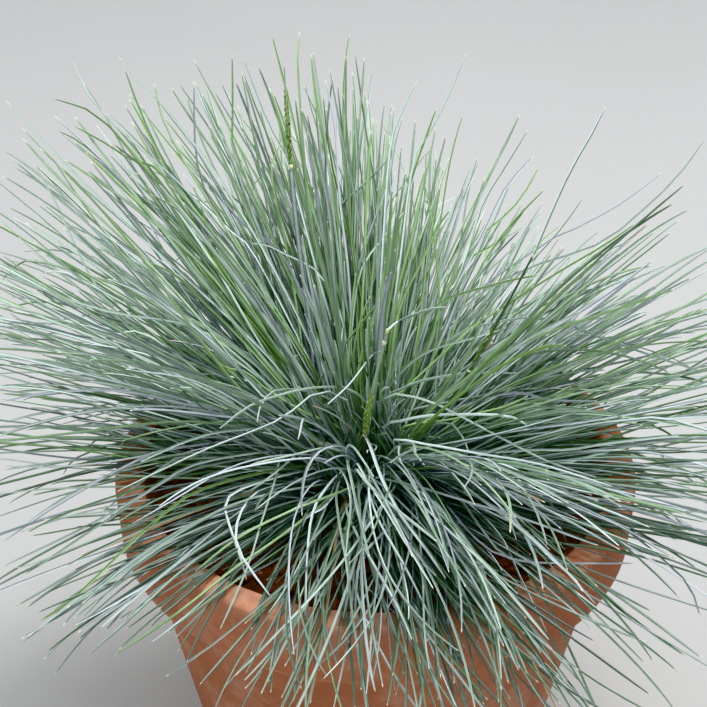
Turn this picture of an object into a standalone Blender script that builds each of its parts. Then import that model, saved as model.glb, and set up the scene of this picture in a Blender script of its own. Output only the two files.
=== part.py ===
"""A blue fescue clump in a plain round pot.

Metres, +Z up. The origin is the centre of the pot's underside, and -Y is the clump's front.
Every blade leaves the crown at its own tilt from the vertical and bends down further along its
length, the more the lower it starts, so that the blades spread without crossing.
"""

import math
import random

import bmesh
import bpy
from mathutils import Matrix, Vector

SEED = 34
GAP = 0.0003  # between pieces that rest on each other

# Pot
POT_HEIGHT = 0.190
POT_SIDES = 40
RIM_RADIUS = 0.130
BAND_HEIGHT = 0.034
BAND_STEP = 0.006
LIP_ROUND = 0.003
FOOT_RADIUS = 0.086
FOOT_CHAMFER = 0.002
WALL = 0.008
FLOOR = 0.010
DRAIN_RADIUS = 0.011

# Soil and the bark on it
SOIL_TOP = 0.166
# (share of the way from the crown to the pot's wall, height on the soil)
BARK_PROFILE = ((0.0, 0.005), (0.17, 0.011), (0.42, 0.012), (0.70, 0.011), (1.0, 0.007))
BARK_ROUGHNESS = 0.0022

# Crown: a cap of a sphere
CROWN_RADIUS = 0.038
CROWN_HEIGHT = 0.026
CROWN_SIDES = 24
CROWN_STEPS = 5
DOME_RADIUS = (CROWN_RADIUS**2 + CROWN_HEIGHT**2) / (2 * CROWN_HEIGHT)
DOME_CENTRE = SOIL_TOP + GAP + CROWN_HEIGHT - DOME_RADIUS

# Tufts: a ring's tilt in degrees, how many stand in it, where it starts, blade length and stations
RINGS = (
    (0, 1, 0, 0.192, 4),
    (17, 5, 20, 0.200, 4),
    (34, 9, 8, 0.205, 4),
    (51, 12, 15, 0.192, 5),
    (67, 16, 0, 0.172, 5),
)
BLADES = 6
SHEATH_LENGTH = 0.009
SHEATH_FOOT = 0.0029
SHEATH_RADIUS = 0.0025
DOME_SHARE = 0.77  # the sheath stands at this share of its blades' tilt
FAN = (7.5, 4.0)  # degrees that a tuft's blades part from its middle, in turn
TILT_JITTER = 0.9  # degrees
LENGTH_SPREAD = (0.80, 1.0)
BEND_UPRIGHT, BEND_LOW = 5, 48  # degrees that 200 mm of an upright and of a level blade bend down
BEND_LENGTH = 0.200
BEND_POWER = 1.6
TAPER = 0.52  # width left where the tip begins
PATH_STEPS = 40

# Flower stems: tilt and azimuth of the foot in degrees, share of the way to the tip for which the arc
# keeps them, tip, shares of the stem between which it bears its closed panicle
FLOWER_STEMS = (
    ("flower_stem_1", 24.35, 152.2, 0.33, (-0.0436, 0.0605, 0.3744), (0.81, 0.95)),
    ("flower_stem_2", 19.5, 247, 0.2445, (0.0047, -0.0483, 0.2951), (0.404, 0.71)),
    ("flower_stem_3", 26.4, -8.3, 0.505, (0.0697, -0.0272, 0.3213), (0.455, 0.71)),
)
STEM_SIDES = 5
STEM_FOOT = 0.0016
STEM_NECK = 0.0010
STEM_ROWS = 5
PANICLE_SWELL = 0.0012
PANICLE_ROWS = 8
NEEDLE = 0.0006
NEEDLE_TIP = 0.0003
SPIKELET_LENGTH = 0.0034
SPIKELET_OUT = 0.0012
SPIKELET_TIP = 0.35

COLOURS = {  # base colour and roughness
    "terracotta": ((0.50, 0.19, 0.10), 0.82),
    "potting_soil": ((0.035, 0.022, 0.014), 0.95),
    "bark": ((0.19, 0.055, 0.030), 0.90),
    "crown_straw": ((0.16, 0.15, 0.08), 0.85),
    "fescue_blade": ((0.20, 0.34, 0.28), 0.55),
    "flower_green": ((0.25, 0.38, 0.09), 0.60),
}


def empty_scene():
    for old in list(bpy.data.objects):
        bpy.data.objects.remove(old, do_unlink=True)
    collection = bpy.data.collections.new("potted_blue_fescue")
    bpy.context.scene.collection.children.link(collection)
    return collection


def make_materials():
    made = {}
    for name, (colour, roughness) in COLOURS.items():
        material = bpy.data.materials.new(name)
        material.use_nodes = True
        shader = material.node_tree.nodes["Principled BSDF"]
        shader.inputs["Base Color"].default_value = (*colour, 1)
        shader.inputs["Roughness"].default_value = roughness
        shader.inputs["Metallic"].default_value = 0
        made[name] = material
    return made


class Part:
    """Puts finished meshes into the collection, each as its own named object."""

    def __init__(self, collection, materials):
        self.collection = collection
        self.materials = materials

    def add(self, name, shape, material, sharp_degrees=30):
        mesh = bpy.data.meshes.new(name)
        shape.to_mesh(mesh)
        shape.free()
        mesh.materials.append(self.materials[material])
        mesh.shade_smooth()
        mesh.set_sharp_from_angle(angle=math.radians(sharp_degrees))
        made = bpy.data.objects.new(name, mesh)
        self.collection.objects.link(made)
        return made


def outer_radius(height):
    """The pot's wall outside, without the band."""
    return FOOT_RADIUS + (RIM_RADIUS - BAND_STEP - FOOT_RADIUS) * height / POT_HEIGHT


def inner_radius(height):
    return outer_radius(height) - WALL


def turned(profile, closed):
    """An outline of (radius, height) points. A Screw modifier turns it."""
    shape = bmesh.new()
    points = [shape.verts.new((radius, 0, height)) for radius, height in profile]
    for first, second in zip(points, points[1:] + points[:1] if closed else points[1:]):
        shape.edges.new((first, second))
    return shape


def screw(made, sides):
    turn = made.modifiers.new("turn", "SCREW")
    turn.steps = sides
    turn.render_steps = sides
    turn.use_merge_vertices = True
    turn.merge_threshold = 0.00005


def add_pot(part):
    band_bottom = POT_HEIGHT - BAND_HEIGHT
    lip_inside = inner_radius(POT_HEIGHT)
    profile = (
        (lip_inside, POT_HEIGHT),
        (RIM_RADIUS - LIP_ROUND, POT_HEIGHT),
        (RIM_RADIUS, POT_HEIGHT - LIP_ROUND),
        (RIM_RADIUS - LIP_ROUND / 2, band_bottom),
        (outer_radius(band_bottom - LIP_ROUND), band_bottom - LIP_ROUND),
        (FOOT_RADIUS, FOOT_CHAMFER),
        (FOOT_RADIUS - FOOT_CHAMFER, 0),
        (DRAIN_RADIUS, 0),
        (DRAIN_RADIUS, FLOOR),
        (inner_radius(FLOOR), FLOOR),
    )
    screw(part.add("pot", turned(profile, closed=True), "terracotta"), POT_SIDES)


def add_soil(part):
    bottom = FLOOR + GAP
    shape = bmesh.new()
    bmesh.ops.create_cone(
        shape,
        cap_ends=True,
        segments=POT_SIDES,
        radius1=inner_radius(bottom) - 2 * GAP,
        radius2=inner_radius(SOIL_TOP) - 2 * GAP,
        depth=SOIL_TOP - bottom,
        matrix=Matrix.Translation((0, 0, (bottom + SOIL_TOP) / 2)),
    )
    part.add("potting_soil", shape, "potting_soil")


def add_bark(part, draw):
    """The chips as one lumpy ring around the crown."""
    floor = SOIL_TOP + GAP
    inside = CROWN_RADIUS + GAP
    edge = inner_radius(floor + BARK_PROFILE[-1][1]) - 2 * GAP
    profile = [(inside + share * (edge - inside), floor + rise) for share, rise in BARK_PROFILE]
    profile += [(inner_radius(floor) - 2 * GAP, floor), (inside, floor)]
    shape = turned(profile, closed=True)
    bmesh.ops.spin(
        shape,
        geom=shape.edges[:],
        axis=(0, 0, 1),
        angle=math.tau,
        steps=POT_SIDES,
        use_merge=True,
    )
    for point in shape.verts:
        if point.co.z > floor + GAP and point.co.xy.length < edge - GAP:
            point.co.z += draw.uniform(-BARK_ROUGHNESS, BARK_ROUGHNESS)
    bmesh.ops.recalc_face_normals(shape, faces=shape.faces[:])
    part.add("bark_mulch", shape, "bark", sharp_degrees=20)


def add_crown(part):
    reach = math.asin(CROWN_RADIUS / DOME_RADIUS)
    profile = []
    for step in range(CROWN_STEPS + 1):
        angle = reach * step / CROWN_STEPS
        profile.append((DOME_RADIUS * math.sin(angle), DOME_CENTRE + DOME_RADIUS * math.cos(angle)))
    profile.append((0, SOIL_TOP + GAP))
    screw(part.add("root_crown", turned(profile, closed=False), "crown_straw"), CROWN_SIDES)


def direction(tilt, azimuth):
    """The unit vector at a tilt from the vertical and an azimuth from +X, in radians."""
    return Vector(
        (
            math.sin(tilt) * math.cos(azimuth),
            math.sin(tilt) * math.sin(azimuth),
            math.cos(tilt),
        )
    )


def bent_tilt(tilt, along):
    """The tilt of a blade at a distance from its foot, from the tilt it starts with."""
    low = tilt / (math.pi / 2)
    bend = math.radians(BEND_UPRIGHT + (BEND_LOW - BEND_UPRIGHT) * low)
    return tilt + bend * (along / BEND_LENGTH) ** BEND_POWER


def blade_path(start, heading, length, stations):
    """(point, heading) at each station of a blade after its foot."""
    tilt = heading.angle(Vector((0, 0, 1)))
    azimuth = math.atan2(heading.y, heading.x)
    step = length / PATH_STEPS
    point = start.copy()
    path = [(start, heading)]
    for count in range(PATH_STEPS):
        heading = direction(bent_tilt(tilt, (count + 0.5) * step), azimuth)
        point = point + heading * step
        path.append((point, heading))
    return [path[round(PATH_STEPS * station / stations)] for station in range(1, stations + 1)]


def plug(foot, axis, radii, depth, sides, fans):
    """The short round foot that everything on the crown grows out of, and its top faces."""
    shape = bmesh.new()
    upright = Vector((0, 0, 1)).rotation_difference(axis).to_matrix().to_4x4()
    bmesh.ops.create_cone(
        shape,
        cap_ends=True,
        cap_tris=fans,
        segments=sides,
        radius1=radii[0],
        radius2=radii[1],
        depth=depth,
        matrix=Matrix.Translation(foot + axis * depth / 2) @ upright,
    )
    shape.normal_update()
    return shape, [face for face in shape.faces if face.normal.dot(axis) > 0.9]


def crown_foot(axis):
    """Where something that leaves the crown along axis stands on it."""
    return Vector((0, 0, DOME_CENTRE)) + axis * (DOME_RADIUS + GAP)


def drawn_out(shape, face):
    return bmesh.ops.extrude_discrete_faces(shape, faces=[face])["faces"][0]


def grow_blade(shape, face, path, axis):
    """Draws one face out along a path, narrowing, and closes it in a point."""
    middle = face.calc_center_median()
    offsets = [point.co - middle for point in face.verts]
    for count, (place, heading) in enumerate(path, 1):
        face = drawn_out(shape, face)
        turn = axis.rotation_difference(heading)
        width = 1 - (1 - TAPER) * count / (len(path) - 1)
        for point, offset in zip(face.verts, offsets):
            point.co = place + turn @ offset * width
    bmesh.ops.pointmerge(shape, verts=face.verts[:], merge_co=path[-1][0])


def add_tuft(part, name, tilt, azimuth, length, stations, draw):
    """A sheath on the crown and its blades, which all grow out of its top."""
    axis = direction(tilt * DOME_SHARE, azimuth)
    middle = direction(tilt, azimuth)
    foot = crown_foot(axis)
    radii = (SHEATH_FOOT, SHEATH_RADIUS)
    shape, tops = plug(foot, axis, radii, SHEATH_LENGTH, BLADES, fans=True)
    top = foot + axis * SHEATH_LENGTH
    for count, face in enumerate(tops):
        start = face.calc_center_median()
        aside = start - top
        aside = (aside - middle * aside.dot(middle)).normalized()
        fan = math.radians(FAN[count % 2] + draw.uniform(-TILT_JITTER, TILT_JITTER))
        heading = middle * math.cos(fan) + aside * math.sin(fan)
        reach = length * draw.uniform(*LENGTH_SPREAD)
        grow_blade(shape, face, blade_path(start, heading, reach, stations), axis)
    part.add(name, shape, "fescue_blade")


def add_tufts(part, draw):
    number = 0
    for tilt, count, start, length, stations in RINGS:
        for place in range(count):
            number += 1
            azimuth = math.radians(start + 360 * place / count)
            name = f"leaf_tuft_{number:02d}"
            add_tuft(part, name, math.radians(tilt), azimuth, length, stations, draw)


def stem_curve(foot, axis, tip, kept, share):
    """A point on the arc that leaves foot along axis and ends in tip."""
    turn = foot + axis * (tip - foot).length * kept
    return foot * (1 - share) ** 2 + turn * 2 * share * (1 - share) + tip * share**2


def stem_stations(low, high):
    """(share of the stem, radius): up to low a sheath, up to high the closed panicle, then a needle."""
    stations = []
    for row in range(1, STEM_ROWS + 1):
        share = row / STEM_ROWS
        stations.append((low * share, STEM_FOOT + (STEM_NECK - STEM_FOOT) * share))
    for row in range(1, PANICLE_ROWS + 1):
        share = row / PANICLE_ROWS
        swell = PANICLE_SWELL * math.sin(math.pi * share) * (1 - share)
        radius = STEM_NECK + (NEEDLE - STEM_NECK) * share + swell
        stations.append((low + (high - low) * share, radius))
    return stations + [(1, NEEDLE_TIP)]


def add_spikelets(shape, faces, heading):
    for face in faces:
        outward = face.normal.copy()
        face = drawn_out(shape, face)
        middle = face.calc_center_median()
        shift = heading * SPIKELET_LENGTH + outward * SPIKELET_OUT
        for point in face.verts:
            point.co = middle + (point.co - middle) * SPIKELET_TIP + shift


def add_flower_stem(part, name, tilt, azimuth, kept, tip, panicle):
    """A young flower stem in its sheath. Spikelets grow from every other face of its panicle."""
    axis = direction(math.radians(tilt), math.radians(azimuth))
    foot, tip = crown_foot(axis), Vector(tip)
    shape, (face,) = plug(foot, axis, (STEM_FOOT, STEM_FOOT), GAP, STEM_SIDES, fans=False)
    before = foot + axis * GAP
    offsets = [(point.co - before) / STEM_FOOT for point in face.verts]
    rows = []
    for share, radius in stem_stations(*panicle):
        place = stem_curve(foot, axis, tip, kept, share)
        turn = axis.rotation_difference(place - before)
        face = drawn_out(shape, face)
        for point, offset in zip(face.verts, offsets):
            point.co = place + turn @ offset * radius
        sides = [side for edge in face.edges for side in edge.link_faces if side != face]
        rows.append((sides, (place - before).normalized()))
        before = place
    shape.normal_update()
    for count, (sides, heading) in enumerate(rows[STEM_ROWS:-2]):
        add_spikelets(shape, sides[count % 2 : STEM_SIDES - 1 : 2], heading)
    part.add(name, shape, "flower_green")


def main():
    draw = random.Random(SEED)
    part = Part(empty_scene(), make_materials())
    add_pot(part)
    add_soil(part)
    add_bark(part, draw)
    add_crown(part)
    add_tufts(part, draw)
    for stem in FLOWER_STEMS:
        add_flower_stem(part, *stem)


main()
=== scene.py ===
"""Looks of the potted blue fescue clump: folded blades, flower stems, bark chips and pot.

Metres, +Z up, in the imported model's frame. -Y is the clump's front. Every blade is a closed strip
with a grooved section that follows a path bending under its own weight down to what carries it.
"""

import math
from collections import namedtuple

import bmesh
import bpy
import numpy as np
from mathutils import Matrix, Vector, noise


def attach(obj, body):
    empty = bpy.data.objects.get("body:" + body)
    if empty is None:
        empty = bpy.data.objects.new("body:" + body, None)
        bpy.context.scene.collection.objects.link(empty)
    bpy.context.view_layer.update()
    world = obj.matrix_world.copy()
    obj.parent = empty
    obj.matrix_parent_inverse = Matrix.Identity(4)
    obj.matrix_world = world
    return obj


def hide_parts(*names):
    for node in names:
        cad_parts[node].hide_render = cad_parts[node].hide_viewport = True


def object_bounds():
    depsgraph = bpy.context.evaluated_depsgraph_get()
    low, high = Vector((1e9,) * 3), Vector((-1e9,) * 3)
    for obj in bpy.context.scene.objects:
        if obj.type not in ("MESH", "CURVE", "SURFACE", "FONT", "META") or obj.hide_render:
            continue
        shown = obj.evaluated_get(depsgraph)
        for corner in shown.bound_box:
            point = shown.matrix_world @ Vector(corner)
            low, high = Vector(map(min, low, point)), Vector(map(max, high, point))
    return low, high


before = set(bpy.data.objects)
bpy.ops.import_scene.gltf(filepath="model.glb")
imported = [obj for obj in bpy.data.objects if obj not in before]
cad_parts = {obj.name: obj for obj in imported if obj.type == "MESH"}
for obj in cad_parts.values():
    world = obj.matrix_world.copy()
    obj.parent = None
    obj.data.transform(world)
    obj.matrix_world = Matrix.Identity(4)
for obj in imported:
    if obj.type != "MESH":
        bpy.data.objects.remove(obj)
CAD_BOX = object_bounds()
SEED = 5

# The camera looks along +Y and down. Pixels are those of the square 707-pixel frame.
FRAME_PX = 707
FOCAL_PX = 1635
SENSOR_MM = 36
NEAR_CLIP = 0.01
CAMERA_DISTANCE = 0.82
CAMERA_PITCH = math.radians(32)
CROWN_POINT = np.array((0, 0, 0.190))
CROWN_PX = (375, 457)

# The studio. The sky's strength is a sum of spans: two heights, and the strength at each.
FLOOR_SIZE = 200
FLOOR_PLACE = (0, 0, -0.0004)
FLOOR_COLOURS = ((0.385, 0.382, 0.376), (0.415, 0.412, 0.405))
LAMP_TARGET = (0, 0, 0.2)
LAMPS = (  # place, size, power
    ("key", (0.35, 0.35, 1.7), 0.6, 26),
    ("front", (-0.7, -1.7, 0.8), 1.0, 7),
)
SKY_COLOUR = (0.93, 0.97, 1.0, 1)
SKY_SPANS = ((0.15, 0.95, 0.10, 1.62), (0.10, 0.20, 0.62, 0.0))

# Places of the solids, as the part is built
POT_HEIGHT = 0.190
RIM_RADIUS = 0.130
BAND_HEIGHT = 0.034
BAND_STEP = 0.006
FOOT_RADIUS = 0.086
WALL = 0.008
FLOOR = 0.010
DRAIN_RADIUS = 0.011
SOIL_TOP = 0.166
BARK_TOP = 0.178
CROWN_RADIUS = 0.038
CROWN_HEIGHT = 0.026
DOME_RADIUS = (CROWN_RADIUS**2 + CROWN_HEIGHT**2) / (2 * CROWN_HEIGHT)
DOME_CENTRE = SOIL_TOP + CROWN_HEIGHT - DOME_RADIUS

# The tufts, in rings: tilt in degrees, tufts, first azimuth, blade length, blades in a tuft
RINGS = (
    (0, 1, 0, 0.194, 64),
    (17, 5, 20, 0.204, 68),
    (34, 9, 8, 0.210, 72),
    (51, 12, 15, 0.197, 74),
    (67, 16, 0, 0.186, 66),
)
OUTERMOST = RINGS[-1][0]
Tuft = namedtuple("Tuft", "number tilt azimuth length blades inner")

# A blade's section in blade widths, (across, up), counter-clockwise round its heading: margin,
# groove, margin, and the keeled back. STATIONS are the shares of its length where it has a ring.
SECTION = np.array(
    ((-0.50, 0.34), (0.0, -0.05), (0.50, 0.34), (0.36, -0.18), (0.0, -0.44), (-0.36, -0.18))
)
SHARP_CORNERS = (0, 1, 2)
STATIONS = np.concatenate((np.linspace(0, 0.92, 16), (0.955, 0.98, 0.993, 1.0)))
SAMPLES = 61
BLADE_WIDTH = (0.00086, 0.00142)
ROUND = np.array([(math.cos(a) / 2, math.sin(a) / 2) for a in np.arange(8) * math.tau / 8])
CELL_U, CELL_V = (0.05, 0.90), (0.03, 0.95)  # a strip's start in its cell of the map, and its size

# What the blades lie on. Chips stand above the bark's top, which dips round the crown.
CHIP_RISE = 0.0025
DIP_DEPTH, DIP_RADIUS, DIP_SLOPE = 0.008, 0.060, 0.025
RIM_APPROACH, RIM_SLOPE = 0.010, 0.008
NO_GROUND = -1.0
ROOTED = 3  # points at a blade's foot that nothing lifts
DROOP = 14.0  # points past the place where it rests, over which a blade's lift fades
OVER_BOX = (0.014, 0.014, 0.010)  # how far blades may reach out of the solids' box

# Where blades start: on the dome, nearer to its top than the tuft's tilt says, and scattered
DOME_SHARE = 0.77
FOOT_DEPTH = 0.001
FOOT_SPREAD = (0.14, 0.15)  # of tilt and azimuth
LOWEST_FOOT = math.radians(56)
TUFT_SPREAD = (3.5, 5)  # of a tuft's own tilt and azimuth, in degrees
LEAST_SINE = 0.3  # of the tilt, where an azimuth's spread grows with its inverse
TUFT_SINE = 0.33  # the same for a tuft's own azimuth
STRAYING, STRAY_SPREAD, PLAIN_SPREAD = 0.32, 26.0, 11.0
LOWEST_START = math.radians(82)
MIDDLE_TILT = 0.1  # under which a tuft grows to all sides

# How a blade grows. Angles are in degrees, reaches are shares of the tuft's length.
REACH = (0.34, 1.03)  # the least and the most of an upright one
FRONT_REACH = (0.58, 0.46)  # the least of a front one, and how much more it may be
FRONT_RAISED = (-10, 28)  # how much nearer to upright a front one starts
BEND = (3, 29)  # of an upright one, and how much more for a low one
FRONT_END = (98, 8)  # middle and spread of the tilt at which a front one ends
YOUNG_BEND, YOUNG_OUT = 0.15, math.radians(28)
SWAYS = ((1.1, 3.6), (2.6, 0.9))  # waves along a blade, and their spread
DRIFT = 8.0  # how far a blade turns aside on its way
TILT_LIMITS = (math.radians(1), math.radians(165))
KINK_PLACES, KINK_LENGTH = (0.35, 0.9), 0.03
HOOK_PLACES, HOOK_LENGTH = (0.84, 0.95), 0.08

# Rare blades: their share, and the least and the most of what sets them apart
YOUNG = (0.08, 0.4, 0.70)  # shorter by that share
ARCHING = (0.08, 15, 60)  # degrees of bend
KINKED = (0.03, 12, 50)  # degrees of kink
HOOKED = (0.12, 10, 60)  # degrees at the tip
DRY_TIPS = (0.020, 0.02, 0.07)  # share of the length
DEAD = 0.004
ALL_DRY = 5.0  # dry from the foot on
UNDER, UNDER_TILTS, UNDER_REACH, UNDER_BEND = 0.26, (70, 88), (0.30, 0.75), (0, 14)
OUTER_TILT = math.radians(60)

# A blade's looks: roll and twist in radians, the height above the crown from which its middle
# arches, and how far under that it lies; then the hues of fresh, green, bluish and lilac ones
ROLL_SPREAD, TWIST_SPREAD = 0.6, 1.1
HIGH_ARCH, ARCH_SLOPE = 0.075, 0.04
HUES = ((0.7, 1), (0.3, 0.7), (0, 0.3), (-0.4, -0.1))

# Where fewer or more blades grow, or longer ones: azimuth and width in degrees, and share
LOW_GAPS = ((-38, 14, 0.45), (-150, 22, 0.35), (12, 16, 0.40), (-90, 46, 0.72))
LOW_TILT = math.radians(45)
HIGH_GAP = (40, 38, 0.74)
HIGH_TILTS = (0.2, 1.0)
LEFT_FULL = (140, 34, 0.22)
TOP_THIN, TOP_TILT = 0.14, 0.5
LONG_LEFT = (158, 42, 0.20)
LONG_CORNERS = ((-32, 30, 1.0), (-150, 24, 0.7))
SHORT_BACK = math.radians(46)

# How many pixels to each side of a blade, a flower stem and its knot are kept free, and how many
# points of a blade may all the same hide them
BLADE_CLEAR, STEM_CLEAR, KNOT_CLEAR = 1, 2, 5
KNOT = (0.34, 0.44)
MAY_HIDE = 4
CLOSER = 0.002  # how much nearer than the line a point is, in metres, to hide it
SPARE_BLADES = 9  # grown for each one that is kept

# A flower stem: tilt and azimuth of its foot in degrees, share for which the arc keeps them, and
# its tip; the shares between which it bears scales, how far they stand out and their tone; the
# sheath's tone and width; the needle's tone and widths; the collars' shares and widths; and from
# which share on it shows
FINE_SAMPLES = 121
Flower = namedtuple(
    "Flower",
    "tilt azimuth kept tip low high plump tone sheath_tone wide needle_tone needle collars shown",
)
FLOWERS = (
    Flower(
        tilt=24.35, azimuth=152.2, kept=0.33, tip=(-0.0436, 0.0605, 0.3744),
        low=0.81, high=0.95, plump=0.55, tone=0.36, sheath_tone=0.0, wide=0.0027, needle_tone=0.85,
        needle=(0.0011, 0.0009, 0.0007, 0.0005), collars=((0.81, 0.0021),), shown=0.55,
    ),
    Flower(
        tilt=19.5, azimuth=247, kept=0.2445, tip=(0.0047, -0.0483, 0.2951),
        low=0.404, high=0.73, plump=0.85, tone=0.85, sheath_tone=0.75, wide=0.0025, needle_tone=1.0,
        needle=(0.0017, 0.0020, 0.0015, 0.0009),
        collars=((0.404, 0.0022), (0.935, 0.0019), (0.985, 0.0016)), shown=0.05,
    ),
    Flower(
        tilt=26.4, azimuth=-8.3, kept=0.505, tip=(0.0697, -0.0272, 0.3213),
        low=0.455, high=0.70, plump=0.30, tone=0.15, sheath_tone=0.45, wide=0.0022,
        needle_tone=0.45, needle=(0.0013, 0.0015, 0.0013, 0.0009),
        collars=((0.455, 0.0018), (0.985, 0.0013)), shown=0.40,
    ),
)
SHEATH_RINGS, SHEATH_ROLL = 34, 2.6  # rings along a sheath, and its turn about the stem
COLLAR_HALF = 0.0011  # of its height
ANTHERS = 8
BASE_SHARE = 0.35  # of a blade, which a leaf of the stem doesn't show

# Scales: how far apart and how far turned from each other; their length and width at the panicle's
# foot, and how much less at its top; and how far they stand out, lie apart and rise on each other
SCALE_SPACING, SCALE_TURN = 0.0008, 2.4
SCALE_LENGTH, SCALE_SHORTER, SCALE_WIDTH, SCALE_NARROWER = 0.0031, 0.0010, 0.0013, 0.0006
SCALE_OUT, SCALE_APART, SCALE_RISE, SCALE_CURVE = 0.0010, 0.0011, 0.0007, 0.0004

# Dead straws at the crown: where they start, where they point, and their size
STRAWS = 110
STRAW_PLACES, STRAW_TILTS = (15, 58), (35, 82)
STRAW_LENGTH, STRAW_WIDTH = (0.010, 0.026), (0.0012, 0.0024)

# Bark chips: how many in a sector, their usual length, and how deep they lie. Then the spread of
# the length, the width as a share of it, the thickness as a share of that, and the unevenness.
CHIPS = ((330, 0.0085, 0.006), (420, 0.0050, 0.003), (260, 0.0028, 0.001))
CHIP_SPREAD, CHIP_WIDTH, CHIP_THICKNESS, CHIP_ROUGH = 0.38, (0.42, 0.85), (0.22, 0.55), 0.13
CHIP_LEAN = 0.42
CHIP_OUTER = 0.1125
PALE_CHIPS = (0.035, 0.5, 1)  # share, and the least and the most
SECTORS = 6
BARK_SWELL, BARK_EDGE, BARK_HOLLOW = 0.0022, 0.0035, 0.004
BED_SIDES, BED_ROWS, BED_OUTER, BED_DEPTH = 120, 22, 0.1118, 0.0035
POT_SIDES, POT_STEP, POT_WOBBLE, ARC_STEPS = 192, 0.006, 0.00045, 6

# Solids that stay: material, its two colours, the size of its grain and its roughness
SOLIDS = {
    "potting_soil": ("soil", (0.012, 0.008, 0.006), (0.055, 0.032, 0.020), 300.0, 0.95),
    "root_crown": ("crown", (0.020, 0.022, 0.010), (0.075, 0.085, 0.035), 420.0, 0.9),
}

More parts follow.
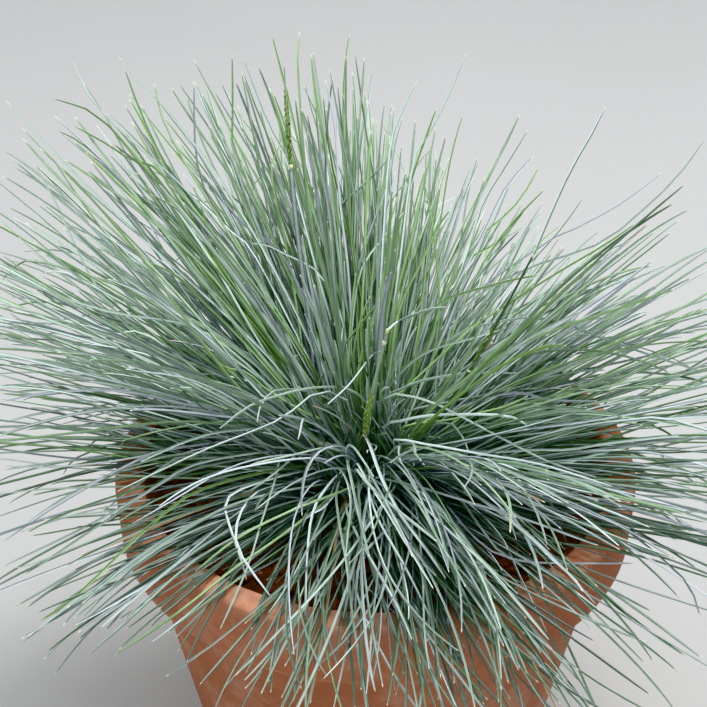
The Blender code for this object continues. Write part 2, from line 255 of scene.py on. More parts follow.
# Blades that stand out: look, end, and the pixels that they pass from near the foot to the tip. The
# end of an upright one is how far its tip leans behind the plane through the crown, in metres. That
# of a lying one, above LEAN_LIMIT, is its tip's height above the stand.
LEAN_LIMIT = 0.1
LYING_ARCH = 0.026
HERO_WIDTH = (0.0012, 0.0016)
HERO_LOOKS = {  # tone and hue
    "pale": (0.95, 0.0),
    "grey": (0.62, 0.10),
    "green": (0.45, 0.80),
    "fresh": (0.55, 1.0),
    "lilac": (0.85, -0.35),
    "white": (1.30, -0.12),
    "dark": (0.05, 0.35),
}
HERO_BLADES = {
    "arc_left": ("pale", -0.065, (372, 420), (352, 390), (322, 387), (294, 391), (251, 405),
        (219, 429)),
    "arc_right": ("pale", -0.065, (378, 415), (392, 394), (431, 402), (464, 418), (544, 460),
        (598, 478)),
    "long_left": ("pale", -0.08, (352, 412), (321, 391), (279, 420), (207, 449), (143, 479),
        (116, 492)),
    "hooked_left": ("pale", -0.06, (350, 418), (318, 394), (284, 389), (268, 395), (260, 408),
        (257, 423)),
    "wavy_left": ("green", -0.04, (345, 434), (302, 411), (265, 388), (247, 372), (230, 369),
        (215, 362)),
    "blunt_right": ("pale", -0.065, (384, 430), (400, 421), (430, 415), (466, 414), (509, 416),
        (530, 427)),
    "over_right": ("pale", -0.08, (393, 444), (419, 443), (482, 454), (540, 464), (614, 487)),
    "cross_right": ("green", -0.075, (377, 470), (392, 472), (413, 469), (443, 467)),
    "cross_left": ("green", 0.178, (366, 483), (343, 500), (296, 523), (241, 556), (196, 596)),
    "curve_right": ("pale", -0.04, (390, 398), (402, 389), (424, 380), (469, 373), (518, 373)),
    "straight_right": ("fresh", 0.01, (388, 385), (431, 349), (482, 320), (553, 275), (602, 246),
        (636, 223)),
    "bright_right": ("pale", -0.035, (441, 352), (496, 322), (551, 319), (605, 339), (669, 361),
        (704, 372)),
    "tall_right": ("pale", 0.0, (460, 385), (494, 330), (514, 290), (534, 254), (550, 216),
        (571, 170),
        (589, 139), (606, 106)),
    "far_right": ("pale", 0.0, (450, 330), (513, 275), (598, 244), (647, 206), (680, 173),
        (705, 139)),
    "lilac_right": ("lilac", 0.02, (450, 320), (544, 244), (580, 226), (620, 204), (663, 172)),
    "lilac_hook": ("lilac", 0.01, (440, 320), (482, 237), (502, 195), (513, 179), (534, 156)),
    "green_hook": ("fresh", 0.02, (435, 320), (482, 237), (503, 218), (522, 197), (539, 167)),
    "upper_right": ("grey", 0.01, (425, 360), (464, 264), (482, 206), (500, 175), (528, 130)),
    "top_right": ("pale", 0.0, (395, 300), (413, 166), (431, 130), (446, 101), (466, 54)),
    "top": ("pale", 0.0, (380, 300), (390, 153), (402, 112), (417, 81)),
    "top_straight": ("dark", 0.0, (358, 300), (347, 184), (346, 120), (346, 55)),
    "top_left": ("lilac", 0.0, (350, 300), (339, 195), (335, 128), (325, 79)),
    "top_thin": ("grey", 0.0, (345, 300), (328, 162), (321, 106), (313, 52)),
    "top_pale": ("pale", 0.01, (320, 280), (288, 162), (268, 124), (243, 58)),
    "top_dark": ("dark", 0.0, (310, 320), (237, 157), (233, 106), (232, 54)),
    "up_vertical": ("lilac", 0.01, (290, 340), (210, 200), (196, 150), (194, 83)),
    "up_left_dot": ("green", 0.0, (290, 330), (201, 190), (165, 125), (154, 83)),
    "up_left_long": ("pale", 0.0, (290, 300), (223, 184), (165, 108), (138, 81), (118, 56)),
    "up_left_far": ("pale", 0.0, (290, 330), (201, 206), (125, 135), (92, 101), (72, 60)),
    "left_green": ("green", 0.0, (300, 350), (170, 182), (125, 157), (107, 144), (74, 126)),
    "left_long": ("pale", -0.01, (280, 370), (156, 251), (107, 206), (67, 166), (5, 100)),
    "left_pair": ("grey", -0.01, (270, 375), (116, 251), (74, 206), (33, 170), (2, 149)),
    "left_kink": ("pale", -0.03, (270, 400), (150, 345), (118, 316), (87, 271), (56, 204),
        (33, 162)),
    "left_hook": ("dark", 0.0, (290, 380), (200, 255), (156, 202), (143, 179), (134, 172)),
    "left_low": ("pale", -0.04, (280, 400), (201, 331), (112, 313), (45, 291), (2, 270)),
    "left_broad": ("lilac", -0.05, (280, 410), (160, 345), (89, 338), (45, 327), (2, 320)),
    "left_flat": ("pale", 0.186, (290, 440), (201, 438), (156, 453), (107, 462), (51, 467),
        (4, 466)),
    "stem_hook": ("fresh", 0.02, (308, 380), (297, 310), (286, 246), (277, 205), (271, 172),
        (273, 160),
        (282, 142)),
    "left_arch": ("lilac", -0.07, (300, 430), (183, 404), (134, 393), (98, 390), (45, 393),
        (2, 402)),
    "low_left_one": ("lilac", 0.178, (300, 440), (174, 449), (125, 467), (54, 507), (4, 541)),
    "low_left_two": ("pale", 0.176, (310, 450), (201, 462), (145, 493), (89, 525), (4, 566)),
    "low_left_three": ("grey", 0.175, (310, 455), (190, 470), (107, 520), (56, 554), (25, 574)),
    "front_left_one": ("fresh", 0.18, (320, 465), (210, 486), (156, 520), (78, 594), (40, 621)),
    "front_left_two": ("grey", 0.17, (340, 485), (290, 511), (201, 556), (125, 623), (87, 656)),
    "front_left_three": ("green", 0.172, (340, 490), (290, 530), (234, 569), (179, 612),
        (114, 656)),
    "front_long": ("pale", 0.172, (330, 440), (288, 449), (275, 496), (261, 543), (248, 589),
        (221, 655)),
    "front_bent": ("pale", 0.184, (335, 470), (290, 478), (255, 490), (234, 500), (224, 513),
        (231, 540), (239, 564), (247, 592)),
    "front_short": ("white", 0.19, (345, 474), (305, 482), (272, 488), (253, 497), (241, 514),
        (235, 538), (241, 558), (254, 578), (273, 603)),
    "front_middle": ("pale", 0.172, (345, 475), (317, 520), (308, 574), (306, 656)),
    "front_hooked": ("pale", 0.188, (352, 470), (337, 490), (338, 520), (347, 574), (348, 600),
        (343, 626)),
    "front_curled": ("white", 0.19, (390, 490), (402, 511), (380, 539), (361, 560), (357, 584),
        (355, 616)),
    "front_right_one": ("pale", 0.172, (366, 490), (378, 539), (404, 594), (431, 656)),
    "front_right_two": ("pale", 0.172, (420, 480), (442, 498), (471, 518), (500, 552), (518, 594),
        (545, 656)),
    "front_right_three": ("pale", 0.188, (430, 480), (457, 496), (482, 529), (502, 554),
        (528, 566)),
    "right_low_one": ("grey", 0.186, (450, 450), (522, 460), (540, 485), (553, 507), (567, 543)),
    "right_low_two": ("lilac", 0.178, (440, 500), (470, 540), (495, 562), (520, 570), (551, 574),
        (632, 577)),
    "left_curl": ("grey", -0.05, (300, 452), (268, 446), (246, 430), (228, 416), (210, 406),
        (192, 403),
        (182, 407)),
    "left_pale": ("pale", -0.06, (300, 436), (268, 429), (240, 430), (210, 434), (180, 444),
        (140, 462)),
    "small_curl": ("grey", -0.02, (314, 420), (296, 390), (290, 372), (291, 361), (298, 355)),
    "fresh_middle": ("fresh", -0.03, (360, 410), (355, 376), (354, 348), (361, 318), (370, 296)),
    "fresh_beside": ("fresh", -0.02, (358, 400), (360, 360), (370, 330), (382, 280), (388, 262)),
    "slate_crossing": ("dark", -0.02, (320, 395), (326, 370), (346, 342), (380, 300)),
    "kinked_left": ("green", 0.0, (300, 400), (262, 325), (218, 262), (206, 222), (193, 184)),
    "fresh_left": ("fresh", -0.01, (300, 410), (252, 350), (204, 302), (180, 278), (150, 262)),
    "fresh_left_two": ("fresh", 0.0, (310, 410), (270, 355), (232, 308), (210, 280), (188, 250)),
    "lilac_bunch": ("lilac", 0.02, (310, 330), (284, 256), (250, 230), (230, 210), (201, 172)),
    "pale_bunch": ("pale", 0.02, (300, 340), (252, 250), (228, 228), (205, 205), (186, 190)),
    "thin_crossing": ("pale", -0.01, (345, 330), (320, 274), (290, 256), (268, 245), (251, 243)),
    "slate_upper": ("grey", 0.01, (345, 400), (322, 310), (314, 245), (334, 212), (364, 184),
        (391, 156)),
    "slate_right": ("grey", 0.0, (354, 370), (354, 310), (362, 268), (380, 242), (404, 212)),
    "pale_upright": ("pale", 0.01, (352, 360), (354, 290), (366, 242), (378, 212), (389, 180),
        (394, 146), (402, 118)),
    "fresh_upright": ("fresh", 0.0, (362, 360), (364, 260), (368, 170), (371, 130)),
    "green_short": ("green", -0.01, (352, 400), (350, 340), (356, 273)),
    "fresh_right_one": ("fresh", 0.0, (388, 360), (396, 302), (406, 260), (416, 224), (427, 164)),
    "fresh_right_two": ("green", 0.0, (384, 360), (388, 314), (396, 270), (404, 216), (410, 172)),
    "fresh_right_three": ("fresh", -0.01, (392, 360), (400, 306), (420, 264), (436, 230),
        (450, 210)),
    "green_right_four": ("green", 0.01, (415, 360), (423, 302), (427, 262), (434, 216), (440, 186)),
    "green_right_five": ("green", 0.0, (430, 370), (439, 302), (434, 236), (425, 184)),
    "lilac_right_six": ("lilac", 0.01, (420, 350), (442, 274), (450, 244), (460, 210), (464, 186)),
    "grey_right_seven": ("grey", 0.01, (430, 350), (456, 262), (464, 240), (474, 208), (485, 178)),
    "green_right_eight": ("fresh", 0.01, (450, 300), (470, 259), (496, 244), (514, 224),
        (528, 204)),
    "green_right_nine": ("green", 0.01, (470, 290), (500, 238), (522, 212), (545, 189)),
    "short_green": ("green", 0.0, (430, 340), (440, 304), (452, 278), (462, 252)),
    "green_level": ("green", -0.01, (420, 330), (450, 298), (482, 288), (510, 280), (538, 275)),
    "fresh_right_low": ("fresh", -0.03, (388, 405), (400, 394), (430, 366), (456, 342), (480, 322),
        (500, 309)),
    "grey_right_low": ("grey", -0.03, (388, 395), (400, 374), (420, 356), (440, 347), (462, 341),
        (500, 330)),
    "yellow_right": ("fresh", -0.05, (400, 430), (450, 420), (484, 412), (508, 406), (528, 396)),
    "right_middle": ("grey", -0.035, (400, 420), (440, 404), (480, 396), (520, 386), (550, 377),
        (580, 371), (606, 370)),
    "lilac_middle": ("lilac", -0.04, (440, 420), (480, 400), (518, 392), (544, 399), (570, 401),
        (598, 401)),
    "right_wave": ("pale", -0.06, (440, 455), (500, 452), (540, 450), (570, 450), (600, 445),
        (640, 440), (680, 436)),
    "short_right": ("pale", -0.06, (430, 430), (450, 424), (457, 430), (464, 440), (469, 454)),
    "blunt_left": ("pale", 0.196, (330, 440), (300, 452), (286, 464), (266, 480), (250, 491),
        (240, 494)),
    "front_hook": ("pale", 0.192, (340, 492), (322, 508), (306, 517), (301, 532)),
}

# Leaves of the middle flower stem: width, look, share of the stem where it leaves, end, how far it
# arches on its way if it lies, and its pixels
STEM_LEAVES = (
    (0.0017, "white", 0.4, 0.208, 0.012, (371, 449), (381, 477), (400, 514), (424, 547),
     (446, 579)),
    (0.0011, "pale", 0.9, -0.07, 0.0, (374, 354), (366, 363), (349, 385), (327, 405)),
    (0.0014, "pale", 0.985, -0.06, 0.0, (398, 322), (410, 316), (430, 309), (447, 307)),
    (0.0012, "white", 0.4, -0.055, 0.0, (369, 443), (376, 446), (374, 451), (368, 450), (367, 453)),
)


# ---------------------------------------------------------------- camera


def camera_axes():
    """The camera's forward, right and up."""
    forward = np.array((0, math.cos(CAMERA_PITCH), -math.sin(CAMERA_PITCH)))
    right = np.array((1.0, 0, 0))
    return forward, right, np.cross(right, forward)


def pixel_ray(x, y):
    """The way from the camera to what it sees at a pixel, one metre deep."""
    forward, right, up = camera_axes()
    middle = FRAME_PX / 2
    return forward + right * (x - middle) / FOCAL_PX - up * (y - middle) / FOCAL_PX


CAMERA_PLACE = CROWN_POINT - CAMERA_DISTANCE * pixel_ray(*CROWN_PX)


def at_pixel(x, y, height):
    """The point at a height above the stand that the camera sees at a pixel."""
    ray = pixel_ray(x, y)
    return CAMERA_PLACE + ray * (height - CAMERA_PLACE[2]) / ray[2]


def add_camera():
    data = bpy.data.cameras.new("camera")
    data.sensor_width = SENSOR_MM
    data.lens = FOCAL_PX / FRAME_PX * SENSOR_MM
    data.clip_start = NEAR_CLIP
    made = bpy.data.objects.new("camera", data)
    bpy.context.scene.collection.objects.link(made)
    made.location = CAMERA_PLACE
    made.rotation_euler = (math.pi / 2 - CAMERA_PITCH, 0, 0)
    bpy.context.scene.camera = made


# ---------------------------------------------------------------- shader nodes


SPAN_KEYS = ("From Min", "From Max", "To Min", "To Max")


class Nodes:
    """A short way to write a material's nodes."""

    def __init__(self, name, roughness=0.6):
        self.material = bpy.data.materials.new(name)
        self.material.use_nodes = True
        self.tree = self.material.node_tree
        self.shader = self.tree.nodes["Principled BSDF"]
        self.shader.inputs["Roughness"].default_value = roughness

    def new(self, kind, inputs=None, **settings):
        node = self.tree.nodes.new(kind)
        for key, value in settings.items():
            setattr(node, key, value)
        for key, value in (inputs or {}).items():
            self.put(node, key, value)
        return node

    def put(self, node, key, value):
        """Links a socket's output to an input, or sets the input to a value."""
        socket = node.inputs[key]
        if isinstance(value, bpy.types.NodeSocket):
            self.tree.links.new(value, socket)
        else:
            socket.default_value = value

    def math(self, operation, first, second=0.0, clamp=False):
        node = self.new("ShaderNodeMath", operation=operation, use_clamp=clamp)
        self.put(node, 0, first)
        self.put(node, 1, second)
        return node.outputs[0]

    def times(self, first, second, clamp=False):
        return self.math("MULTIPLY", first, second, clamp)

    def plus(self, first, second):
        return self.math("ADD", first, second)

    def apart(self, first, second):
        return self.math("ABSOLUTE", self.math("SUBTRACT", first, second))

    def span(self, value, low, high, to_low=0.0, to_high=1.0):
        """A value's place between low and high, as a number from to_low to to_high."""
        node = self.new("ShaderNodeMapRange", clamp=True)
        for key, number in zip(("Value", *SPAN_KEYS), (value, low, high, to_low, to_high)):
            self.put(node, key, number)
        return node.outputs["Result"]

    def mix(self, factor, first, second):
        """The first colour where the factor is 0, and the second where it is 1."""
        node = self.new("ShaderNodeMix", data_type="RGBA")
        for socket, value in zip((0, 6, 7), (factor, first, second)):
            self.put(node, socket, (*value, 1.0) if isinstance(value, tuple) else value)
        return node.outputs[2]

    def layers(self, body, *coats):
        """A colour with others laid over it in turn, each by its factor."""
        for factor, colour in coats:
            body = self.mix(factor, body, colour)
        return body

    def noise(self, vector, scale, detail, roughness):
        settings = {"Vector": vector, "Scale": scale, "Detail": detail, "Roughness": roughness}
        return self.new("ShaderNodeTexNoise", settings).outputs["Fac"]

    def place(self):
        return self.new("ShaderNodeTexCoord").outputs["Object"]

    def attribute(self, name):
        """The three numbers of a mesh's attribute."""
        split = self.new("ShaderNodeSeparateXYZ")
        self.put(split, 0, self.new("ShaderNodeAttribute", attribute_name=name).outputs["Vector"])
        return split.outputs

    def combine(self, x, y, z):
        node = self.new("ShaderNodeCombineXYZ")
        for key, value in zip("XYZ", (x, y, z)):
            self.put(node, key, value)
        return node.outputs[0]

    def bump(self, height, strength, distance, normal=None):
        settings = {"Height": height, "Strength": strength, "Distance": distance}
        node = self.new("ShaderNodeBump", settings)
        if normal is not None:
            self.put(node, "Normal", normal)
        return node.outputs[0]

    def colour(self, value):
        self.put(self.shader, "Base Color", value)

    def finish(self, key, value):
        self.put(self.shader, key, value)


def blade_material():
    """A folded blade: green under a pale waxy bloom, finely ribbed, dry at the tip.

    The attribute "blade" holds (across, millimetres along, share along), and "grain" holds three
    numbers drawn once for each blade: tone, hue (lilac below 0, fresh green at 1) and dryness.
    """
    m = Nodes("fescue_leaf")
    across, along, share = m.attribute("blade")
    tone, hue, dry = m.attribute("grain")
    place = m.combine(m.times(across, 0.8), m.times(along, 0.05), m.times(tone, 70.0))
    streaks = m.noise(place, 1.6, 5.0, 0.6)
    ribs = m.math("ABSOLUTE", m.math("SINE", m.times(across, 13.0)))
    green = m.layers(
        (0.120, 0.165, 0.140),
        (m.span(hue, -0.35, 0.05), (0.150, 0.245, 0.135)),
        (m.span(hue, 0.1, 1.0), (0.230, 0.390, 0.105)),
    )
    bloom = m.layers(
        (0.71, 0.81, 0.81),
        (m.span(hue, 0.0, -0.4), (0.63, 0.66, 0.76)),
        (m.span(hue, 0.05, 0.4), (0.68, 0.81, 0.73)),
    )
    worn = m.plus(m.span(streaks, 0.35, 0.65, -0.20, 0.20), m.span(tone, 0, 1, -0.05, 1.15))
    wax = m.times(worn, m.span(hue, 0.0, 1.0, 1.0, 0.35), clamp=True)
    # How far across a blade is from one line along it that keeps its bloom
    off = m.apart(across, m.times(m.math("SINE", m.times(tone, 97.0)), 0.7))
    end = m.plus(share, dry)
    withered = m.math("GREATER_THAN", end, 1.0)
    fading = m.span(end, 0.93, 1.04)
    m.colour(m.layers(
        green,
        (wax, bloom),
        # Away from that line the bloom gives way to green: painted shade on the blade's darker side
        (m.span(off, 0.35, 1.0, 0.0, 0.75), green),
        # Darker towards the foot: painted shade deep inside the crown
        (m.span(share, 0.0, 0.30, 0.75, 0.0), (0.085, 0.130, 0.075)),
        (m.span(share, 0.01, 0.07, 0.80, 0.0), (0.120, 0.105, 0.055)),
        (m.times(fading, m.span(dry, 0.0, 0.05, 0.0, 0.9)), (0.50, 0.37, 0.22)),
        (m.times(withered, m.span(dry, 0.5, 1.0, 0.0, 0.5)), (0.30, 0.20, 0.13)),
        (m.span(share, 0.986, 0.992, 0.0, 0.75), (0.72, 0.70, 0.55)),
    ))
    m.finish("Roughness", m.span(streaks, 0.3, 0.7, 0.32, 0.52))
    m.finish("Specular IOR Level", 0.5)
    m.finish("Normal", m.bump(m.plus(ribs, streaks), 0.25, 0.00008))
    return m.material


# ---------------------------------------------------------------- blades


def unit(vectors):
    return vectors / np.linalg.norm(vectors, axis=-1, keepdims=True)


def arc(first, turn, last, samples):
    """Points from the first to the last, on a parabola that is led by the point where it turns."""
    share = np.linspace(0, 1, samples)[:, None]
    return first * (1 - share) ** 2 + turn * 2 * share * (1 - share) + last * share**2


def headings(tilt, azimuth):
    """Unit vectors that lean from straight up by a tilt, towards an azimuth from +X."""
    out = np.sin(tilt)
    return np.stack((out * np.cos(azimuth), out * np.sin(azimuth), np.cos(tilt)), -1)


def ground(radius):
    """The height that a blade can't pass below: the bark, the rim, and nothing beyond the rim."""
    bark = BARK_TOP + CHIP_RISE - DIP_DEPTH * np.clip((DIP_RADIUS - radius) / DIP_SLOPE, 0, 1)
    rim_inside = RIM_RADIUS - BAND_STEP - WALL
    on_rim = np.clip((radius - rim_inside + RIM_APPROACH) / RIM_SLOPE, 0, 1)
    height = bark + (POT_HEIGHT - BARK_TOP - 0.0005) * on_rim
    return np.where(radius > RIM_RADIUS + 0.003, NO_GROUND, height)


def laid_down(paths):
    """Turns each blade that would pass into the bark or the rim up about its foot, to lie on it.

    Past the place where it rests the lift grows less and less, and the end still bends down.
    """
    step = np.arange(paths.shape[1])
    low = ground(np.hypot(paths[..., 0], paths[..., 1]))
    low[:, :ROOTED] = NO_GROUND
    for _ in range(3):
        slopes = np.maximum(low - paths[..., 2], 0) / np.maximum(step, 1)
        rest = slopes.argmax(axis=1)[:, None]
        beyond = np.maximum(step - rest, 0)
        turned = np.minimum(step, rest) + DROOP * (1 - np.exp(-beyond / DROOP))
        paths[..., 2] += slopes.max(axis=1)[:, None] * turned
    paths[..., 2] = np.maximum(paths[..., 2], low)
    return paths


def kept_inside(paths):
    """Makes the blades that reach well out of the clump's box smaller, about their feet."""
    reach = paths - paths[:, :1]
    scale = np.ones(len(paths))
    for axis in range(3):
        for sign, limit in ((1, CAD_BOX[1][axis]), (-1, -CAD_BOX[0][axis])):
            room = limit + OVER_BOX[axis] - paths[:, 0, axis] * sign
            farthest = (reach[..., axis] * sign).max(axis=1)
            scale = np.minimum(scale, room / np.maximum(farthest, 1e-6))
    return paths[:, :1] + reach * scale[:, None, None]


def sweep(paths, rolls, twists, shares):
    """The side and the upper normal at each station, carried along each path without turning."""
    tangent = unit(np.gradient(paths, axis=1))
    side = np.cross(tangent[:, 0], (0, 0, 1.0))
    side[np.linalg.norm(side, axis=1) < 1e-3] = (1, 0, 0)
    sides = np.empty_like(paths)
    for k in range(paths.shape[1]):
        side = unit(side - tangent[:, k] * (side * tangent[:, k]).sum(1, keepdims=True))
        sides[:, k] = side
    upper = np.cross(sides, tangent)
    turn = np.reshape(rolls, (-1, 1)) + np.reshape(twists, (-1, 1)) * shares
    cosine, sine = np.cos(turn)[..., None], np.sin(turn)[..., None]
    return sides * cosine + upper * sine, upper * cosine - sides * sine


def width_along(share):
    """Nearly even along the blade, with a short blunt end."""
    foot = 0.75 + 0.25 * np.clip(share / 0.12, 0, 1)
    end = np.clip((share - 0.90) / 0.10, 0, 1)
    return foot * (1 - 0.20 * share) * (1 - 0.62 * end**2.2)


class Strips:
    """Closed strips of one kind: a section carried along many paths, ending in a point."""

    def __init__(self, paths, wide, looks, section=SECTION, shares=STATIONS, rolls=0.0, twists=0.0):
        count, stations, _ = paths.shape
        side, upper = sweep(paths, rolls, twists, shares)
        edges = self.edges = len(section)
        ring = (
            paths[:, :, None, :]
            + side[:, :, None, :] * (wide[:, :, None] * section[:, 0])[..., None]
            + upper[:, :, None, :] * (wide[:, :, None] * section[:, 1])[..., None]
        )
        self.points = np.concatenate((ring[:, :-1].reshape(count, -1, 3), paths[:, -1:]), axis=1)
        self.count, self.per = self.points.shape[:2]
        length = np.linalg.norm(np.diff(paths, axis=1), axis=2).sum(axis=1)
        self.aspect = length.mean() / (wide.max() * 3)
        self.place = np.empty((count, self.per, 3), np.float32)
        self.place[:, :-1, 0] = np.tile(section[:, 0] * 2, stations - 1)
        self.place[:, :-1, 2] = np.repeat(shares[:-1], edges)
        self.place[:, -1] = (0, 0, 1)
        self.place[:, :, 1] = self.place[:, :, 2] * length[:, None] * 1000
        self.looks = np.repeat(looks[:, None, :], self.per, axis=1)
        self.lay_faces(stations, shares)

    def lay_faces(self, stations, shares):
        """The faces of one strip, and their places in its cell of the map."""
        edges = self.edges
        k = np.repeat(np.arange(stations - 2), edges)
        i = np.tile(np.arange(edges), stations - 2)
        here, above, after = k * edges, (k + 1) * edges, (i + 1) % edges
        quads = np.stack((here + i, here + after, above + after, above + i), -1)
        last, j = (stations - 2) * edges, np.arange(edges)
        tips = np.stack((last + j, last + (j + 1) % edges, np.full(edges, self.per - 1)), -1)
        self.face = np.concatenate((quads.ravel(), tips.ravel(), j[::-1]))
        self.sizes = np.concatenate((np.full(len(quads), 4), np.full(edges, 3), [edges]))
        turn = j / edges * math.tau
        self.u = np.concatenate((
            (np.stack((i, i + 1, i + 1, i), -1) / edges).ravel(),
            (np.stack((j, j + 1, j + 0.5), -1) / edges).ravel(),
            0.5 + 0.4 * np.cos(turn),
        ))
        self.v = np.concatenate((
            shares[np.stack((k, k, k + 1, k + 1), -1)].ravel(),
            np.tile(shares[[stations - 2, stations - 2, stations - 1]], edges),
            -0.012 + 0.010 * np.sin(turn),
        ))

    def cells(self):
        """How many columns and rows of the map the strips take, with little stretch."""
        rows = max(1, round(math.sqrt(self.count / self.aspect)))
        return math.ceil(self.count / rows), rows


def strips_mesh(name, groups):
    """One mesh of all strips. Each group takes a band of the map, as high as its share of them."""
    areas = np.array([group.points[..., 0].size for group in groups], float)
    bands = np.concatenate(([0], np.cumsum(areas / areas.sum())))
    loops, sizes, uvs, start = [], [], [], 0
    for group, low, high in zip(groups, bands, bands[1:]):
        columns, rows = group.cells()
        cell = np.arange(group.count)[:, None]
        u = (cell % columns + CELL_U[0] + CELL_U[1] * group.u) / columns
        v = (cell // columns + CELL_V[0] + CELL_V[1] * group.v) / rows
        uvs.append(np.stack((u, low + (high - low) * v), -1).reshape(-1, 2))
        loops.append((start + group.face + group.per * cell).ravel())
        sizes.append(np.tile(group.sizes, group.count))
        start += group.points[..., 0].size
    loops, sizes = np.concatenate(loops), np.concatenate(sizes)
    mesh = bpy.data.meshes.new(name)
    mesh.vertices.add(start)
    points = np.concatenate([group.points.reshape(-1, 3) for group in groups])
    mesh.vertices.foreach_set("co", points.ravel().astype(np.float32))
    mesh.loops.add(len(loops))
    mesh.loops.foreach_set("vertex_index", loops.astype(np.int32))
    mesh.polygons.add(len(sizes))
    mesh.polygons.foreach_set("loop_start", (np.cumsum(sizes) - sizes).astype(np.int32))
    mesh.update(calc_edges=True)
    layer = mesh.uv_layers.new(name="OFBake")
    layer.data.foreach_set("uv", np.concatenate(uvs).ravel().astype(np.float32))
    put_attribute(mesh, "blade", np.concatenate([group.place.reshape(-1, 3) for group in groups]))
    put_attribute(mesh, "grain", np.concatenate([group.looks.reshape(-1, 3) for group in groups]))
    mesh.shade_smooth()
    mesh.edges.foreach_set("use_edge_sharp", folds(mesh, groups))
    return mesh


def folds(mesh, groups):
    """Which edges stay sharp: the margins and the groove of each folded blade."""
    ends = np.empty(len(mesh.edges) * 2, np.int32)
    mesh.edges.foreach_get("vertices", ends)
    ends = ends.reshape(-1, 2)
    sharp = np.zeros(len(ends), bool)
    start = 0
    for group in groups:
        size = group.count * group.per
        inside = (ends[:, 0] >= start) & (ends[:, 0] < start + size) & (group.edges == len(SECTION))
        column = (ends - start) % group.per
        along = np.abs(column[:, 0] - column[:, 1]) == group.edges
        sharp |= inside & along & np.isin(column[:, 0] % group.edges, SHARP_CORNERS)
        start += size
    return sharp


def place_strips(name, groups, material, node):
    place_piece(name, strips_mesh(name, groups), material, node)


def blade_strips(paths, widths, rolls, twists, looks):
    """Folded blades, with the width, roll and twist of each."""
    return Strips(paths, widths[:, None] * width_along(STATIONS), looks, rolls=rolls, twists=twists)


def put_attribute(mesh, name, values):
    """Gives each of a mesh's points three numbers that a material reads."""
    layer = mesh.attributes.new(name=name, type="FLOAT_VECTOR", domain="POINT")
    layer.data.foreach_set("vector", np.ascontiguousarray(values, np.float32).reshape(-1))


def place_piece(name, mesh, material, node):
    """Adds a visible piece, which stands for a node of the frame if one is named."""
    made = bpy.data.objects.new(name, mesh)
    bpy.context.scene.collection.objects.link(made)
    mesh.materials.append(material)
    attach(made, "root")
    if node:
        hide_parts(node)


def front_share(azimuth):
    """1 for a blade that leaves towards the front, 0 at the sides and the back."""
    return np.clip(-np.sin(azimuth), 0, 1) ** 1.2


def some(rng, count, share, low, high):
    """A number between low and high for a share of the blades, and 0 for the rest."""
    chosen = rng.random(count) < share
    return np.where(chosen, rng.uniform(low, high, count), 0)


def signs(rng, count):
    """Random signs."""
    return rng.choice((-1, 1), count)


def grown(rng, feet, tilt, azimuth, front, reach, bend, power):
    """Paths that start at their feet with a tilt and azimuth, and bend down, sway, kink and hook.

    The front ones bend near the foot and run on straight, and the others bend towards the tip.
    """
    count = len(feet)
    share = np.linspace(0, 1, SAMPLES)
    early = 1 - (1 - share) ** power[:, None]
    late = share ** power[:, None]
    tilts = tilt[:, None] + bend[:, None] * (early * front[:, None] + late * (1 - front[:, None]))
    lean = 1 / np.maximum(np.sin(tilt), LEAST_SINE)
    drift = np.radians(rng.normal(0, DRIFT, count)) * lean * (1 + front)
    azimuths = azimuth[:, None] + drift[:, None] * share**1.3
    for turns, size in SWAYS:
        phase = rng.uniform(0, math.tau, (2, count, 1))
        sway = np.radians(rng.normal(0, size, (2, count, 1))) * (1 - 0.4 * front[:, None])
        wave = math.tau * turns * share
        tilts = tilts + sway[0] * (np.sin(wave + phase[0]) - np.sin(phase[0]))
        azimuths = azimuths + sway[1] * (np.sin(wave + phase[1]) - np.sin(phase[1])) * lean[:, None]
    kink = np.radians(some(rng, count, *KINKED))
    bent = np.clip((share - rng.uniform(*KINK_PLACES, count)[:, None]) / KINK_LENGTH, 0, 1)
    azimuths = azimuths + (kink * signs(rng, count) * rng.uniform(0.2, 1, count))[:, None] * bent
    tilts = tilts + (kink * rng.uniform(-0.2, 1, count))[:, None] * bent
    hook = np.radians(some(rng, count, *HOOKED)) * (1 - 0.75 * front)
    curl = np.clip((share - rng.uniform(*HOOK_PLACES, count)[:, None]) / HOOK_LENGTH, 0, 1) ** 1.3
    azimuths = azimuths + (hook * rng.uniform(-1, 1, count))[:, None] * curl
    tilts = tilts + (hook * rng.uniform(-0.3, 1, count))[:, None] * curl
    steps = headings(np.clip(tilts, *TILT_LIMITS), azimuths)
    steps = steps * (reach / (SAMPLES - 1))[:, None, None]
    paths = feet[:, None, :] + np.cumsum(steps, axis=1) - steps[:, :1]
    return laid_down(kept_inside(paths))


def points_at(paths, place):
    """The points of each path at places along it, counted in its own points."""
    before = np.minimum(place.astype(int), paths.shape[-2] - 2)
    rest = (place - before)[:, None]
    return paths[..., before, :] * (1 - rest) + paths[..., before + 1, :] * rest


def at_stations(paths):
    """The points of each path where a blade has a ring."""
    return points_at(paths, STATIONS * (SAMPLES - 1))


def finer(paths, times):
    """Each path with points added between its own."""
    size = paths.shape[-2]
    return points_at(paths, np.linspace(0, size - 1.000001, size * times))


def part_of(path, low, high, samples):
    """Points of a path between two shares of it."""
    return points_at(path, np.linspace(low, high, samples) * (len(path) - 1))


def crown_feet(rng, tilt, azimuth, count):
    """Feet packed round a tuft's place on the crown."""
    middle = tilt * DOME_SHARE
    foot_tilt = middle + rng.normal(0, FOOT_SPREAD[0], count)
    turn = rng.normal(0, FOOT_SPREAD[1], count) / max(math.sin(middle), LEAST_SINE)
    foot_azimuth = azimuth + turn
    feet = headings(np.minimum(foot_tilt, LOWEST_FOOT), foot_azimuth) * (DOME_RADIUS - FOOT_DEPTH)
    feet[:, 2] += DOME_CENTRE
    return feet


